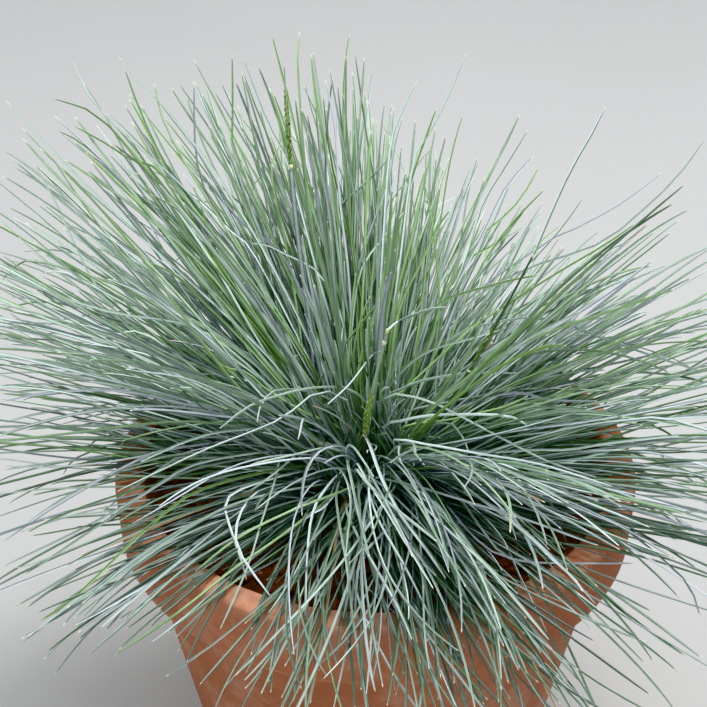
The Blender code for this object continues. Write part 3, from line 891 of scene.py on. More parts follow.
def near_angle(azimuth, degrees, width):
    """1 at an azimuth, and 0 well away from it."""
    off = (azimuth - math.radians(degrees) + math.pi) % math.tau - math.pi
    return np.exp(-((off / math.radians(width)) ** 2))


def fullness(azimuth, tilt):
    """How long the blades are to each side: longer at the left than at the back right."""
    back_right = np.clip(np.cos(azimuth - SHORT_BACK), 0, 1) ** 3
    towards, width, more = LONG_LEFT
    left = near_angle(azimuth, towards, width) * np.clip(1 - np.abs(tilt - 0.80) / 0.5, 0, 1)
    corners = sum(share * near_angle(azimuth, *corner) for *corner, share in LONG_CORNERS)
    corners = corners * np.clip(tilt - 0.5, 0, 1)
    return 1 - 0.32 * back_right * np.clip(1.3 - tilt, 0, 1) + more * left + 0.22 * corners


def crowding(azimuth, tilt):
    """How many of a tuft's blades grow: few where the bark shows, and many at the left."""
    low_gaps = sum(share * near_angle(azimuth, *gap) for *gap, share in LOW_GAPS)
    *gap, share = HIGH_GAP
    high_gap = share * near_angle(azimuth, *gap) * (HIGH_TILTS[0] < tilt < HIGH_TILTS[1])
    *side, share = LEFT_FULL
    left = share * near_angle(azimuth, *side) * (tilt > 0.25)
    return 1 - low_gaps * (tilt > LOW_TILT) - high_gap + left - TOP_THIN * (tilt < TOP_TILT)


def tuft_blades(rng, tilt, azimuth, length, count):
    """Paths of one tuft's blades. Some stray across the others or arch over; a few are young."""
    feet = crown_feet(rng, tilt, azimuth, count)
    tilt = tilt + math.radians(rng.normal(0, TUFT_SPREAD[0]))
    azimuth = azimuth + math.radians(rng.normal(0, TUFT_SPREAD[1])) / max(math.sin(tilt), TUFT_SINE)
    scatter = np.where(rng.random(count) < STRAYING, STRAY_SPREAD, PLAIN_SPREAD)
    start_tilt = np.abs(tilt + np.radians(rng.normal(0, 1, count) * scatter * 0.8))
    turn = np.radians(rng.normal(0, 1, count) * scatter) / max(math.sin(tilt), TUFT_SINE)
    start_azimuth = azimuth + turn
    if tilt < MIDDLE_TILT:
        start_azimuth = rng.uniform(0, math.tau, count)
    start_tilt = np.minimum(start_tilt, LOWEST_START)
    young = some(rng, count, *YOUNG)
    length = length * rng.uniform(0.9, 1.03) * fullness(start_azimuth, start_tilt)
    back = np.clip(np.sin(start_azimuth), 0, 1) * (start_tilt > 0.2)
    low = start_tilt / (math.pi / 2)

    # Length: the upright ones differ most, and the front ones least
    least = REACH[0] + 0.20 * low
    shorter = 1.30 - 0.64 * np.clip(low * 1.8, 0, 1) - 0.22 * back
    reach = length * (least + (REACH[1] - least) * rng.random(count) ** shorter) * (1 - young)
    front = front_share(start_azimuth) * np.clip(low * 2.6 - 0.45, 0, 1)
    start_tilt = start_tilt - np.radians(rng.uniform(*FRONT_RAISED, count)) * front
    ahead = length * (FRONT_REACH[0] + FRONT_REACH[1] * rng.random(count) ** 0.6) * (1 - young)
    reach = reach * (1 - front) + ahead * front

    # Bend: the front ones come down to the bark
    bend = np.radians(BEND[0] + BEND[1] * low) * rng.uniform(-0.2, 1.45, count)
    lying = np.radians(rng.normal(*FRONT_END, count)) - start_tilt
    lying = np.maximum(lying, 0.05) * front
    bend = bend * (1 - front) + lying * np.where(young > 0, YOUNG_BEND, 1)
    bend += np.radians(some(rng, count, *ARCHING)) * (low < 0.75) * (1 - front) * (1 - 0.7 * back)

    # Some of the outer ones lie short and flat under the others
    under = (rng.random(count) < UNDER) & (tilt > OUTER_TILT)
    start_tilt = np.where(under, np.radians(rng.uniform(*UNDER_TILTS, count)), start_tilt)
    reach = np.where(under, length * rng.uniform(*UNDER_REACH, count), reach)
    bend = np.where(under, np.radians(rng.uniform(*UNDER_BEND, count)), bend)
    bend += YOUNG_OUT * (young > 0) * rng.uniform(0.0, 1.2, count)
    power = 1.4 + 1.4 * front * rng.random(count) + rng.uniform(-0.3, 0.8, count)
    return grown(rng, feet, start_tilt, start_azimuth, front, reach, bend, power)


def blade_looks(rng, paths, inner):
    """Widths, rolls, twists and the three numbers that the material reads: tone, hue and dryness.

    Low blades are old green ones, darkened as painted shade, and those that arch above them have
    the palest bloom, as painted light.
    """
    count = len(paths)
    rolls = rng.normal(0, ROLL_SPREAD, count)
    twists = rng.normal(0, TWIST_SPREAD, count)
    arch = paths[:, SAMPLES // 2, 2] - CROWN_POINT[2]
    lying = np.clip((HIGH_ARCH - arch) / ARCH_SLOPE, 0, 1)
    widths = rng.uniform(*BLADE_WIDTH, count) * (1.24 - 0.18 * lying)
    tone = 0.05 + rng.random(count) * (0.78 - 0.24 * inner)
    ahead = np.clip((-0.02 - paths[:, -1, 1]) / 0.08, 0, 1) * lying
    left = np.clip(-paths[:, -1, 0] / 0.10, 0, 1) * (1 - 0.6 * ahead)
    # A lying blade's bloom grows with its arch: painted light on the top layer, painted shade under
    # it
    shown = 0.11 - 0.07 * ahead + 0.30 * left + arch * 13 + rng.normal(0, 0.30, count)
    tone = tone * (1 - lying) + np.clip(shown, 0, 1.2) * lying
    kind = rng.random(count)
    green = 0.06 + 0.26 * inner
    *hues, lilac = [rng.uniform(*hue, count) for hue in HUES]
    hue = np.select((kind < green, kind < green + 0.28, kind < 0.86), hues, lilac)
    hue = np.where(hue > 0, hue * (1 - 0.30 * lying) * (1 - 0.45 * ahead), hue)
    hue = hue - 0.12 * lying - 0.17 * ahead
    dry = some(rng, count, *DRY_TIPS) * (0.4 + 0.6 * lying)
    dead = some(rng, count, DEAD * (inner < 0.3), ALL_DRY, ALL_DRY)
    return widths, rolls, twists, np.stack((tone, hue, np.maximum(dry, dead)), -1)


def through(points, samples):
    """A smooth path through points, at even shares of its length."""
    points = np.asarray(points, float)
    ends = np.concatenate(([2 * points[0] - points[1]], points, [2 * points[-1] - points[-2]]))
    t = np.linspace(0, 1, 16)[:, None]
    pieces = []
    for a, b, c, d in zip(ends, ends[1:], ends[2:], ends[3:]):
        square, cubic = 2 * a - 5 * b + 4 * c - d, 3 * b - a - 3 * c + d
        pieces.append(0.5 * (2 * b + (c - a) * t + square * t**2 + cubic * t**3))
    line = np.concatenate([piece[:-1] for piece in pieces] + [points[-1:]])
    along = np.concatenate(([0], np.cumsum(np.linalg.norm(np.diff(line, axis=0), axis=1))))
    even = np.linspace(0, along[-1], samples)
    return np.stack([np.interp(even, along, line[:, axis]) for axis in range(3)], -1)


def traced(foot, pixels, end, arch=LYING_ARCH):
    """The path of a blade that the camera sees at the pixels, from its foot to its tip.

    An upright blade leans back or forward from the plane through the crown that faces the camera. A
    lying one comes down to a height, after an arch over what is under it.
    """
    shares = np.arange(1, len(pixels) + 1) / len(pixels)
    points = [foot]
    for (x, y), share in zip(pixels, shares):
        if end < LEAN_LIMIT:
            points.append(CAMERA_PLACE + pixel_ray(x, y) * (CAMERA_DISTANCE + end * share**0.5))
        else:
            rise = arch * 4 * share * (1 - share)
            points.append(at_pixel(x, y, foot[2] + (end - foot[2]) * share + rise))
    return through(points, SAMPLES)


def tufts():
    """Every tuft, with its angles in radians and how far inside the outermost ring it stands."""
    number = 0
    for tilt, many, start, length, blades in RINGS:
        for place in range(many):
            number += 1
            angles = math.radians(tilt), math.radians(start + 360 * place / many)
            yield Tuft(number, *angles, length, blades, 1 - tilt / OUTERMOST)


def nearest_tuft(point):
    """The tuft whose axis points most nearly at a point."""
    way = point - CROWN_POINT
    way[2] += 0.03
    return max(tufts(), key=lambda tuft: headings(tuft.tilt, tuft.azimuth) @ way)


def hero_blades(rng):
    """The single blades that stand out in the photograph, by the tuft that they grow from."""
    found = {}
    for kind, end, *pixels in HERO_BLADES.values():
        tuft = nearest_tuft(traced(CROWN_POINT, pixels, end)[-1])
        foot = crown_feet(rng, tuft.tilt, tuft.azimuth, 1)[0]
        path = laid_down(traced(foot, pixels, end)[None])
        width = rng.uniform(*HERO_WIDTH)
        looks = (width, rng.normal(0, 0.4), rng.normal(0, 0.8), (*HERO_LOOKS[kind], 0.0))
        found.setdefault(tuft.number, []).append((path[0], looks))
    return found


def seen_by_camera(points):
    """Columns, rows and distances of points as the camera sees them."""
    forward, right, up = camera_axes()
    way = points - CAMERA_PLACE
    depth = way @ forward
    x = FRAME_PX / 2 + FOCAL_PX * (way @ right) / depth
    y = FRAME_PX / 2 - FOCAL_PX * (way @ up) / depth
    inside = (x > 1) & (x < FRAME_PX - 2) & (y > 1) & (y < FRAME_PX - 2)
    return np.where(inside, x, 1).astype(int), np.where(inside, y, 1).astype(int), depth, inside


def near_lines(lines):
    """For each pixel, how far away the line is that passes there, and 0 where there is none."""
    near = np.zeros((FRAME_PX, FRAME_PX))
    for line, half in lines:
        x, y, depth, inside = seen_by_camera(finer(line, 6))
        for dx in range(-half, half + 1):
            for dy in range(-half, half + 1):
                np.maximum.at(near, ((y + dy)[inside], (x + dx)[inside]), depth[inside])
    return near


def out_of_the_way(paths, near):
    """The blades in growing order: first those that at most cross before a marked line."""
    x, y, depth, _ = seen_by_camera(finer(paths, 5))
    line = near[y, x]
    hiding = ((line > 0) & (depth < line - CLOSER)).sum(axis=1)
    return paths[np.argsort(np.where(hiding <= MAY_HIDE, 0, hiding), kind="stable")]


def marked_lines(heroes):
    """The lines that stay in view: the chosen blades but for their feet, and the stems' tops."""
    lines = [(path[SAMPLES // 4:], BLADE_CLEAR) for group in heroes.values() for path, _ in group]
    for flower in FLOWERS:
        lines.append((part_of(stem_path(flower), flower.shown, 1, SAMPLES), STEM_CLEAR))
    lines.append((part_of(stem_path(FLOWERS[1]), *KNOT, SAMPLES), KNOT_CLEAR))
    return lines + [(path, STEM_CLEAR) for _, _, path in stem_leaves()]


def add_tufts(rng, material):
    """One piece for each tuft: its grown blades, and the chosen ones that start from it."""
    heroes = hero_blades(rng)
    near = near_lines(marked_lines(heroes))
    for tuft in tufts():
        paths = tuft_blades(rng, tuft.tilt, tuft.azimuth, tuft.length, tuft.blades * SPARE_BLADES)
        wanted = round(tuft.blades * crowding(tuft.azimuth, tuft.tilt) * rng.uniform(0.85, 1.1))
        paths = out_of_the_way(paths, near)[:wanted]
        looks = blade_looks(rng, paths, tuft.inner)
        for path, single in heroes.get(tuft.number, ()):
            paths = np.concatenate((paths, path[None]))
            looks = [np.concatenate((many, [one])) for many, one in zip(looks, single)]
        name, node = f"fescue_blades_{tuft.number:02d}", f"leaf_tuft_{tuft.number:02d}"
        strips = blade_strips(at_stations(paths), *looks)
        place_strips(name, [strips], material, node)


def add_thatch(rng, count=STRAWS):
    """Short dead sheaths and straws between the feet of the blades."""
    azimuth = rng.uniform(0, math.tau, count)
    tilt = np.radians(rng.uniform(*STRAW_PLACES, count))
    feet = headings(tilt, azimuth) * (DOME_RADIUS - 0.0005) + (0, 0, DOME_CENTRE)
    start_tilt = np.radians(rng.uniform(*STRAW_TILTS, count))
    reach = rng.uniform(*STRAW_LENGTH, count)
    bend, power = np.radians(rng.uniform(-10, 40, count)), rng.uniform(1, 2, count)
    azimuth = azimuth + rng.normal(0, 0.6, count)
    paths = grown(rng, feet, start_tilt, azimuth, np.zeros(count), reach, bend, power)
    looks = np.stack((rng.random(count), rng.random(count), np.full(count, ALL_DRY)), -1)
    widths = rng.uniform(*STRAW_WIDTH, count)
    rolls, twists = rng.normal(0, 1, count), rng.normal(0, 1, count)
    strips = blade_strips(at_stations(paths), widths, rolls, twists, looks)
    m = Nodes("straw", 0.85)
    across, along, _ = m.attribute("blade")
    tone, _, _ = m.attribute("grain")
    streaks = m.noise(m.combine(across, m.times(along, 0.15), m.times(tone, 50.0)), 2.0, 5.0, 0.6)
    body = m.mix(tone, (0.050, 0.042, 0.022), (0.20, 0.165, 0.090))
    m.colour(m.mix(m.span(streaks, 0.35, 0.65, 0.6, 0.0), body, (0.06, 0.04, 0.025)))
    place_strips("crown_thatch", [strips], m.material, "")


# ---------------------------------------------------------------- flower stems


def stem_path(flower, samples=SAMPLES):
    """The arc of a flower stem, which leaves the crown squarely and ends in its tip."""
    axis = headings(math.radians(flower.tilt), math.radians(flower.azimuth))
    foot = axis * (DOME_RADIUS - FOOT_DEPTH) + (0, 0, DOME_CENTRE)
    tip = np.array(flower.tip)
    turn = foot + axis * np.linalg.norm(tip - foot) * flower.kept
    return arc(foot, turn, tip, samples)


def length_of(path):
    """The length of a path of points."""
    return np.linalg.norm(np.diff(path, axis=0), axis=1).sum()


def spikelets(rng, path, flower):
    """Scales of the closed panicle: three to a spikelet, pressed to the stem and pointing up it."""
    low, high = flower.low, flower.high
    count = round((high - low) * length_of(path) / SCALE_SPACING)
    shares = np.linspace(0, 1, 7)
    profile = np.maximum(np.sin(np.pi * np.clip(shares * 1.1, 0.08, 1) ** 0.75), 0.12)
    paths, widths, looks = [], [], []
    for number in range(count):
        at = number / count
        place = low + (high - low) * at
        here, ahead = part_of(path, place, min(place + 0.01, 1), 2)
        up = unit(ahead - here)
        turn = number * SCALE_TURN + rng.normal(0, 0.3)
        across = unit(np.cross(up, (0.0, 1.0, 0.0)))
        out = across * math.cos(turn) + np.cross(up, across) * math.sin(turn)
        swell = flower.plump * math.sin(math.pi * min(1, at * 0.80 + 0.13)) ** 0.8
        for scale in range(3):
            size = (SCALE_LENGTH - SCALE_SHORTER * at) * rng.uniform(0.8, 1.2)
            side = np.cross(up, out) * (scale - 1) * SCALE_APART * swell
            base = here + out * SCALE_OUT * swell + side + up * SCALE_RISE * scale
            way = up + out * (rng.uniform(0.02, 0.16) + 0.06 * scale) * (0.4 + 0.6 * swell)
            line = base + unit(way) * size * shares[:, None]
            paths.append(line + out * (SCALE_CURVE * np.sin(shares * math.pi))[:, None])
            wide = (SCALE_WIDTH - SCALE_NARROWER * at) * (0.45 + 0.55 * swell)
            widths.append(wide * profile * rng.uniform(0.85, 1.1))
            tone = np.clip(flower.tone + rng.normal(0, 0.34), 0, 1)
            looks.append((tone, 1.0, rng.uniform(0, 0.40)))
    rolls = rng.uniform(0, math.tau, len(paths))
    paths, widths, looks = np.array(paths), np.array(widths), np.array(looks)
    return Strips(paths, widths, looks, ROUND[::2] * (1, 0.8), shares, rolls)


def anthers(rng, path, low, high, count=ANTHERS):
    """Tiny yellow anthers that hang out of the panicle."""
    shares = np.linspace(0, 1, 5)
    places = rng.uniform(low, high, count)
    starts = np.array([part_of(path, place, place, 1)[0] for place in places])
    ways = ((0, 1), (-0.8, 0.6), (-0.2, 0.6))  # middle and spread of x, y and z: ahead and down
    way = np.stack([rng.normal(*axis, count) for axis in ways], -1)
    paths = starts[:, None] + unit(way)[:, None] * (0.0009 + 0.0014 * shares[:, None])
    widths = np.tile(0.0010 * np.sin(np.pi * np.clip(shares, 0.1, 0.9)), (count, 1))
    return Strips(paths, widths, np.tile((1.0, 1.0, 1.0), (count, 1)), ROUND[::2], shares)


def flower_material():
    """Sheath, stem and scales of the flower stems: "grain" holds (tone, kind, yellow)."""
    m = Nodes("flower_stem")
    across, along, share = m.attribute("blade")
    tone, kind, yellow = m.attribute("grain")
    streaks = m.noise(m.combine(across, m.times(along, 0.12), m.times(tone, 40.0)), 2.0, 5.0, 0.6)
    sheath = m.layers(
        (0.130, 0.160, 0.180),
        (m.span(tone, 0, 0.5), (0.100, 0.165, 0.080)),
        (m.span(tone, 0.5, 0.75), (0.17, 0.22, 0.11)),
        (m.span(tone, 0.75, 1.0), (0.42, 0.55, 0.38)),
        # A pale stripe along one side of each sheath and needle, turned by SHEATH_ROLL: painted
        # highlight
        (m.span(across, 0.62, 1.0), (0.50, 0.58, 0.55)),
    )
    scale = m.layers(
        (0.11, 0.20, 0.060),
        (m.span(tone, 0, 1), (0.43, 0.64, 0.20)),
        (m.span(share, 0.35, 1.0, 0.0, 0.55), (0.55, 0.62, 0.34)),
    )
    m.colour(m.layers(
        sheath,
        (m.span(kind, 0.0, 0.5), m.mix(m.span(tone, 0, 1), (0.10, 0.17, 0.07), (0.26, 0.40, 0.12))),
        (m.span(kind, 0.5, 1.0), scale),
        (m.span(yellow, 0.45, 0.75), (0.80, 0.82, 0.46)),
        (m.span(yellow, 0.75, 1.0), (0.74, 0.78, 0.26)),
        (m.span(streaks, 0.35, 0.7, 0.25, 0.0), (0.06, 0.08, 0.05)),
    ))
    m.finish("Roughness", m.span(streaks, 0.3, 0.7, 0.38, 0.55))
    m.finish("Normal", m.bump(streaks, 0.25, 0.0001))
    return m.material


def collar(path, place, width):
    """A pale rounded ring round the stem, as one short strip."""
    half = COLLAR_HALF / length_of(path)
    line = part_of(path, max(place - half, 0), min(place + half, 1), 6)[None]
    widths = width * np.array([[0.6, 0.95, 1.1, 1.1, 0.9, 0.6]])
    return Strips(line, widths, np.array([[1.0, 1.0, 0.75]]), ROUND, np.linspace(0, 1, 6))


def sheathed(path, low, high, knots, widths, tone, kind=0.0):
    """One long sheath round a part of the stem, with its widths at knots along it."""
    shares = np.linspace(0, 1, SHEATH_RINGS)
    line = part_of(path, low, high, SHEATH_RINGS)[None]
    looks = np.array([[tone, kind, 0.0]])
    return Strips(line, np.interp(shares, knots, widths)[None], looks, ROUND, shares, SHEATH_ROLL)


def stem_leaves():
    """The middle flower stem's leaves: width, look, and path from the stem to the tip."""
    path = stem_path(FLOWERS[1], FINE_SAMPLES)
    found = []
    for width, kind, at, end, arch, *pixels in STEM_LEAVES:
        foot = part_of(path, at, 1, 2)[0]
        found.append((width, kind, traced(foot, pixels, end, arch)))
    return found


def add_flower_stems(rng, material):
    """Three stems: sheath, core, scales, needle and collars. The middle one flowers."""
    for number, flower in enumerate(FLOWERS, 1):
        low, high, tone, wide = flower.low, flower.high, flower.tone, flower.wide
        path = stem_path(flower, FINE_SAMPLES)
        sheath = np.array((1.05, 0.88, 0.90, 1.0, 0.42)) * wide
        core = np.array((0.42, 0.85, 0.70, 0.35)) * wide * (0.3 + 0.7 * flower.plump)
        groups = [
            sheathed(path, 0.0, low + 0.012, (0, 0.3, 0.9, 0.985, 1), sheath, flower.sheath_tone),
            sheathed(path, low, high + 0.02, (0, 0.3, 0.7, 1), core, tone, 1.0),
            spikelets(rng, path, flower),
            sheathed(path, high - 0.05, 0.998, (0, 0.12, 0.4, 1), flower.needle,
                     flower.needle_tone),
        ]
        groups += [collar(path, *place) for place in flower.collars]
        if number == 2:
            groups.append(anthers(rng, path, low, high))
            beside = path + (-0.0030, -0.0010, 0)
            thin = (0.0013, 0.0011, 0.0011, 0.0006)
            groups.append(sheathed(beside, 0.02, low + 0.03, (0, 0.5, 0.95, 1), thin, 1.0, 0.5))
        name, node = f"young_flower_stem_{number}", f"flower_stem_{number}"
        place_strips(name, groups, material, node)


def add_stem_leaves(material):
    """The leaves of the middle flower stem, as one piece."""
    widths, kinds, paths = zip(*stem_leaves())
    looks = np.array([(*HERO_LOOKS[kind], 0.0) for kind in kinds])
    strips = blade_strips(at_stations(np.array(paths)), np.array(widths), 0.0, 0.0, looks)
    # They leave the stem without the painted shade at the base of a blade
    strips.place[..., 2] = BASE_SHARE + (1 - BASE_SHARE) * strips.place[..., 2]
    place_strips("stem_leaves", [strips], material, "flower_stem_2")


# ---------------------------------------------------------------- bark, crown, soil and pot


def bark_material():
    """Red-brown bark. The attribute "chip" holds (tone, warmth, paleness)."""
    m = Nodes("bark", 0.9)
    tone, warm, pale = m.attribute("chip")
    grain = m.noise(m.place(), 420.0, 5.0, 0.65)
    broad = m.noise(m.place(), 60.0, 3.0, 0.5)
    m.colour(m.layers(
        (0.045, 0.018, 0.013),
        (m.span(tone, 0, 1), m.mix(warm, (0.16, 0.046, 0.028), (0.50, 0.150, 0.066))),
        (m.span(grain, 0.35, 0.62, 0.65, 0.0), (0.018, 0.008, 0.006)),
        (m.span(broad, 0.45, 0.75, 0.0, 0.30), (0.32, 0.12, 0.065)),
        (m.times(pale, 0.8), (0.50, 0.33, 0.22)),
    ))
    m.finish("Roughness", m.span(grain, 0.3, 0.7, 0.75, 0.95))
    m.finish("Specular IOR Level", 0.25)
    m.finish("Normal", m.bump(grain, 0.6, 0.0006))
    return m.material


def chip_shape():
    """An icosphere's points and faces, as the start of every chip."""
    shape = bmesh.new()
    bmesh.ops.create_icosphere(shape, subdivisions=1, radius=1)
    points = np.array([v.co[:] for v in shape.verts])
    faces = np.array([[v.index for v in f.verts] for f in shape.faces])
    shape.free()
    return points, faces


def turns(rng, count, lean):
    """Rotation matrices: any turn about Z, then a lean of up to some radians."""
    yaw, roll, pitch = rng.uniform(0, math.tau, count), *rng.normal(0, lean, (2, count))
    c, s = np.cos(yaw), np.sin(yaw)
    zero, one = np.zeros(count), np.ones(count)
    about_z = np.array(((c, -s, zero), (s, c, zero), (zero, zero, one)))
    c, s = np.cos(roll), np.sin(roll)
    about_x = np.array(((one, zero, zero), (zero, c, -s), (zero, s, c)))
    c, s = np.cos(pitch), np.sin(pitch)
    about_y = np.array(((c, zero, s), (zero, one, zero), (-s, zero, c)))
    return np.einsum("ijn,jkn,kln->nil", about_z, about_x, about_y)


def noise_at(x, y, z):
    """Smooth noise at each place of two arrays, in the layer z."""
    return np.array([noise.noise(Vector((a, b, z))) for a, b in zip(x, y)])


def bark_height(x, y):
    """The bark's lumpy surface: low at the crown and along the rim."""
    radius = np.hypot(x, y)
    swell = noise_at(x * 45, y * 45, 3.0)
    edge = np.clip((radius - 0.100) / 0.016, 0, 1)
    hollow = np.clip((0.055 - radius) / 0.02, 0, 1)
    return BARK_TOP - 0.002 + BARK_SWELL * swell - BARK_EDGE * edge**2 - BARK_HOLLOW * hollow


def chips(rng, count, length, depth, sector):
    """Points, faces and looks of angular chips that lie in one sector of the bark."""
    base, faces = chip_shape()
    long = rng.lognormal(math.log(length), CHIP_SPREAD, count)
    wide = long * rng.uniform(*CHIP_WIDTH, count)
    thick = wide * rng.uniform(*CHIP_THICKNESS, count)
    half = np.stack((long, wide, thick), -1)[:, None, :] / 2
    boxy = np.sign(base) * np.abs(base) ** 0.75
    points = (boxy[None] + rng.normal(0, CHIP_ROUGH, (count, len(base), 3))) * half
    points = np.einsum("nij,npj->npi", turns(rng, count, CHIP_LEAN), points)
    radius = np.sqrt(rng.uniform((CROWN_RADIUS - 0.004) ** 2, CHIP_OUTER**2, count))
    radius = np.minimum(radius, CHIP_OUTER + 0.002 - long * 0.42)
    angle = rng.uniform(*sector, count)
    x, y = radius * np.cos(angle), radius * np.sin(angle)
    z = bark_height(x, y) - rng.uniform(0, depth, count)
    points += np.stack((x, y, z), -1)[:, None, :]
    tone = np.clip(rng.normal(0.62, 0.25, count), 0.05, 1)
    warm = rng.random(count) ** 1.3
    pale = some(rng, count, *PALE_CHIPS)
    return points, faces, np.stack((tone, warm, pale), -1)


def chip_mesh(name, groups):
    """Joins groups of chips. Every two faces share a cell of the map, and each has half of it."""
    points, faces, looks, start = [], [], [], 0
    for group_points, one, look in groups:
        count, per = group_points.shape[:2]
        points.append(group_points.reshape(-1, 3))
        faces.append((one[None] + (start + per * np.arange(count))[:, None, None]).reshape(-1, 3))
        looks.append(np.repeat(look, per, axis=0))
        start += count * per
    points, faces, looks = np.concatenate(points), np.concatenate(faces), np.concatenate(looks)
    mesh = bpy.data.meshes.new(name)
    mesh.from_pydata(points, [], faces)
    put_attribute(mesh, "chip", looks)
    cells = math.ceil(math.sqrt(len(faces) / 2))
    face = np.arange(len(faces))
    cell, half = face // 2, face % 2
    low = np.array(((0.06, 0.06), (0.86, 0.06), (0.06, 0.86)))
    corner = np.where(half[:, None, None] == 0, low, 1 - low)
    uv = (np.stack((cell % cells, cell // cells), -1)[:, None, :] + corner) / cells
    layer = mesh.uv_layers.new(name="OFBake")
    layer.data.foreach_set("uv", uv.reshape(-1).astype(np.float32))
    return mesh


def add_bark(rng, material):
    """The loose chips, as one piece for each sector."""
    for number in range(SECTORS):
        sector = (math.tau * number / SECTORS, math.tau * (number + 1) / SECTORS)
        name = f"bark_chips_{number + 1}"
        mesh = chip_mesh(name, [chips(rng, *size, sector) for size in CHIPS])
        place_piece(name, mesh, material, "bark_mulch")


def level_ring(radius, height, angles):
    """A level ring of points, whose radius may vary along it."""
    level = np.full(len(angles), height)
    return np.stack((radius * np.cos(angles), radius * np.sin(angles), level), -1)


def ring_mesh(name, rings):
    """A smooth closed mesh of rings of points, each joined to the next, the last to the first."""
    count, sides = len(rings), len(rings[0])
    here = np.arange(count * sides).reshape(count, sides)
    ahead = np.roll(here, -1, axis=0)
    faces = np.stack((here, ahead, np.roll(ahead, -1, axis=1), np.roll(here, -1, axis=1)), -1)
    mesh = bpy.data.meshes.new(name)
    mesh.from_pydata(np.concatenate(rings), [], faces.reshape(-1, 4))
    shape = bmesh.new()
    shape.from_mesh(mesh)
    bmesh.ops.recalc_face_normals(shape, faces=shape.faces[:])
    shape.to_mesh(mesh)
    shape.free()
    mesh.shade_smooth()
    return mesh


def bark_bed(material):
    """The dark packed bark under the loose chips."""
    inner, floor = CROWN_RADIUS + 0.0003, SOIL_TOP + 0.0005
    angles = math.tau * np.arange(BED_SIDES) / BED_SIDES
    rings = []
    for row in range(BED_ROWS + 1):
        points = level_ring(inner + (BED_OUTER - inner) * row / BED_ROWS, 0.0, angles)
        x, y = points[:, 0], points[:, 1]
        points[:, 2] = bark_height(x, y) - BED_DEPTH + 0.0012 * noise_at(x * 260, y * 260, 1.0)
        rings.append(points)
    rings += [level_ring(radius, floor, angles) for radius in (BED_OUTER, inner)]
    mesh = ring_mesh("bark_bed", rings)
    put_attribute(mesh, "chip", np.tile((0.28, 0.25, 0.0), (len(mesh.vertices), 1)))
    place_piece("bark_bed", mesh, material, "bark_mulch")


def terracotta_material():
    """Unglazed clay: turning lines, chalky patches, a damp foot and worn edges."""
    m = Nodes("terracotta", 0.85)
    at = m.place()
    broad = m.noise(at, 9.0, 5.0, 0.6)
    fine = m.noise(at, 900.0, 3.0, 0.6)
    grain = m.noise(at, 160.0, 5.0, 0.65)
    split = m.new("ShaderNodeSeparateXYZ")
    m.put(split, 0, at)
    height = split.outputs[2]
    lines = m.new("ShaderNodeTexNoise", {"Scale": 1.0, "Detail": 2.0}, noise_dimensions="1D")
    m.put(lines, "W", m.times(height, 420.0))
    patches = m.span(m.noise(at, 22.0, 6.0, 0.7), 0.52, 0.72)
    rim_edge = m.span(height, POT_HEIGHT - 0.004, POT_HEIGHT)
    band_edge = m.span(m.apart(height, POT_HEIGHT - BAND_HEIGHT), 0.0035, 0.0005)
    wear = m.span(m.noise(at, 60.0, 5.0, 0.7), 0.40, 0.62, 0.05, 0.55)
    m.colour(m.layers(
        (0.36, 0.145, 0.082),
        (m.span(broad, 0.3, 0.7), (0.47, 0.215, 0.130)),
        (m.span(grain, 0.42, 0.60, 0.35, 0.0), (0.28, 0.11, 0.062)),
        (m.times(patches, m.span(height, 0.0, POT_HEIGHT, 0.45, 0.22)), (0.66, 0.50, 0.42)),
        (m.span(height, 0.0, 0.012, 0.30, 0.0), (0.22, 0.10, 0.06)),
        (m.times(m.plus(rim_edge, band_edge), wear), (0.62, 0.36, 0.25)),
    ))
    m.finish("Roughness", m.span(grain, 0.3, 0.7, 0.74, 0.92))
    m.finish("Specular IOR Level", 0.3)
    fine_bump = m.bump(fine, 0.35, 0.0003)
    m.finish("Normal", m.bump(m.plus(lines.outputs["Fac"], grain), 0.30, 0.0005, fine_bump))
    return m.material


def outer_radius(height):
    """The pot's radius at a height, under the band."""
    return FOOT_RADIUS + (RIM_RADIUS - BAND_STEP - FOOT_RADIUS) * height / POT_HEIGHT


def rounded(corners, steps):
    """A closed outline of (radius, height, rounding) corners with each corner made an arc."""
    points = []
    for n, (radius, height, bevel) in enumerate(corners):
        here = np.array((radius, height))
        before = np.array(corners[n - 1][:2]) - here
        after = np.array(corners[(n + 1) % len(corners)][:2]) - here
        first, second = here + unit(before) * bevel, here + unit(after) * bevel
        points += list(arc(first, here, second, steps))
    return np.array(points)


def subdivided(points, longest):
    """A closed outline with points added where two lie too far apart."""
    made = []
    for first, second in zip(points, np.roll(points, -1, axis=0)):
        pieces = max(1, math.ceil(np.linalg.norm(second - first) / longest))
        made += [first + (second - first) * n / pieces for n in range(pieces)]
    return np.array(made)


def add_pot(material):
    """The pot, turned from its outline, with a slightly uneven wall."""
    band_bottom = POT_HEIGHT - BAND_HEIGHT
    corners = (
        (outer_radius(POT_HEIGHT) - WALL, POT_HEIGHT, 0.003),
        (RIM_RADIUS, POT_HEIGHT, 0.005),
        (RIM_RADIUS - 0.0015, band_bottom, 0.003),
        (outer_radius(band_bottom - 0.003) + 0.0003, band_bottom - 0.0025, 0.002),
        (outer_radius(0.0), 0.0, 0.003),
        (DRAIN_RADIUS, 0.0, 0.0015),
        (DRAIN_RADIUS, FLOOR, 0.0015),
        (outer_radius(FLOOR) - WALL, FLOOR, 0.004),
    )
    angles = math.tau * np.arange(POT_SIDES) / POT_SIDES
    rings = []
    for radius, height in subdivided(rounded(corners, ARC_STEPS), POT_STEP):
        wobble = noise_at(np.cos(angles) * 1.3, np.sin(angles) * 1.3, height * 9)
        rings.append(level_ring(radius + POT_WOBBLE * wobble, height, angles))
    mesh = ring_mesh("terracotta_pot", rings)
    place_piece("terracotta_pot", mesh, material, "pot")


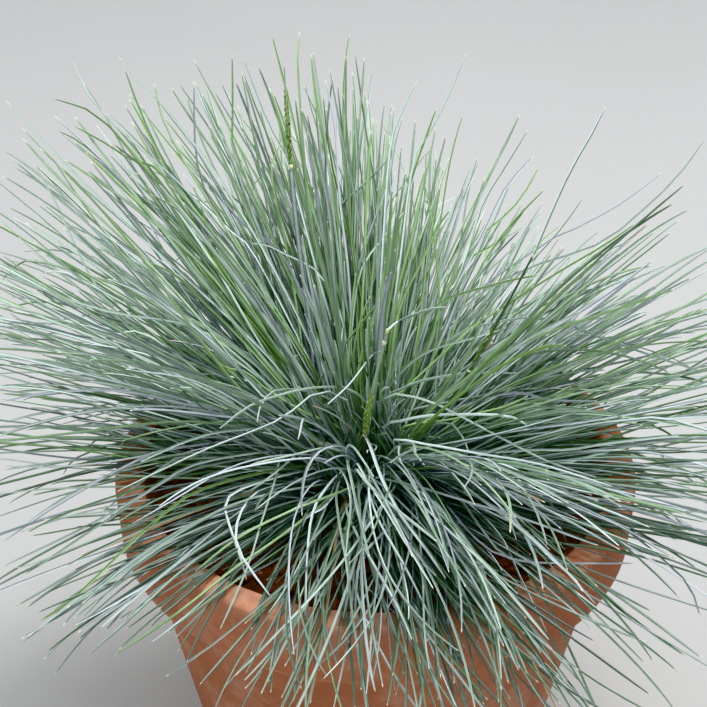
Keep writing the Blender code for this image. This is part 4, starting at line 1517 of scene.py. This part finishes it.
def plain_material(name, low, high, scale, roughness):
    m = Nodes(name, roughness)
    grain = m.noise(m.place(), scale, 6.0, 0.65)
    m.colour(m.mix(m.span(grain, 0.35, 0.65), low, high))
    m.finish("Normal", m.bump(grain, 0.8, 0.001))
    return m.material


def dress_nodes():
    """Soil and crown stay as the solids that they are, under their own materials."""
    for name, look in SOLIDS.items():
        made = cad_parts[name]
        made.data.materials.clear()
        made.data.materials.append(plain_material(*look))


# ---------------------------------------------------------------- stage


def add_floor():
    m = Nodes("floor", 0.8)
    m.colour(m.mix(m.noise(m.place(), 3.0, 3.0, 0.55), *FLOOR_COLOURS))
    bpy.ops.mesh.primitive_plane_add(size=FLOOR_SIZE, location=FLOOR_PLACE)
    floor = bpy.context.object
    floor.name = "floor"
    floor.data.materials.append(m.material)


def add_lamp(name, place, size, power):
    data = bpy.data.lights.new(name, "AREA")
    data.shape = "DISK"
    data.size = size
    data.energy = power
    made = bpy.data.objects.new(name, data)
    bpy.context.scene.collection.objects.link(made)
    made.location = place
    made.rotation_euler = (Vector(LAMP_TARGET) - Vector(place)).to_track_quat("-Z", "Y").to_euler()


def add_world():
    """A studio whose light comes from a wide ceiling, with a pale band along the horizon."""
    world = bpy.data.worlds.new("studio")
    bpy.context.scene.world = world
    world.use_nodes = True
    nodes, links = world.node_tree.nodes, world.node_tree.links
    split = nodes.new("ShaderNodeSeparateXYZ")
    links.new(nodes.new("ShaderNodeTexCoord").outputs["Generated"], split.inputs[0])
    total = nodes.new("ShaderNodeMath")
    for socket, spans in enumerate(SKY_SPANS):
        ramp = nodes.new("ShaderNodeMapRange")
        ramp.interpolation_type = "SMOOTHSTEP"
        links.new(split.outputs[2], ramp.inputs["Value"])
        for key, value in zip(SPAN_KEYS, spans):
            ramp.inputs[key].default_value = value
        links.new(ramp.outputs["Result"], total.inputs[socket])
    background = nodes["Background"]
    background.inputs["Color"].default_value = SKY_COLOUR
    links.new(total.outputs[0], background.inputs["Strength"])


def add_stage():
    add_floor()
    for lamp in LAMPS:
        add_lamp(*lamp)
    add_world()
    bpy.context.scene.view_settings.view_transform = "Khronos PBR Neutral"


def main():
    rng = np.random.default_rng(SEED)
    add_camera()
    add_stage()
    dress_nodes()
    add_pot(terracotta_material())
    bark = bark_material()
    bark_bed(bark)
    add_bark(rng, bark)
    leaf = blade_material()
    add_tufts(rng, leaf)
    add_thatch(rng)
    add_flower_stems(rng, flower_material())
    add_stem_leaves(leaf)


main()
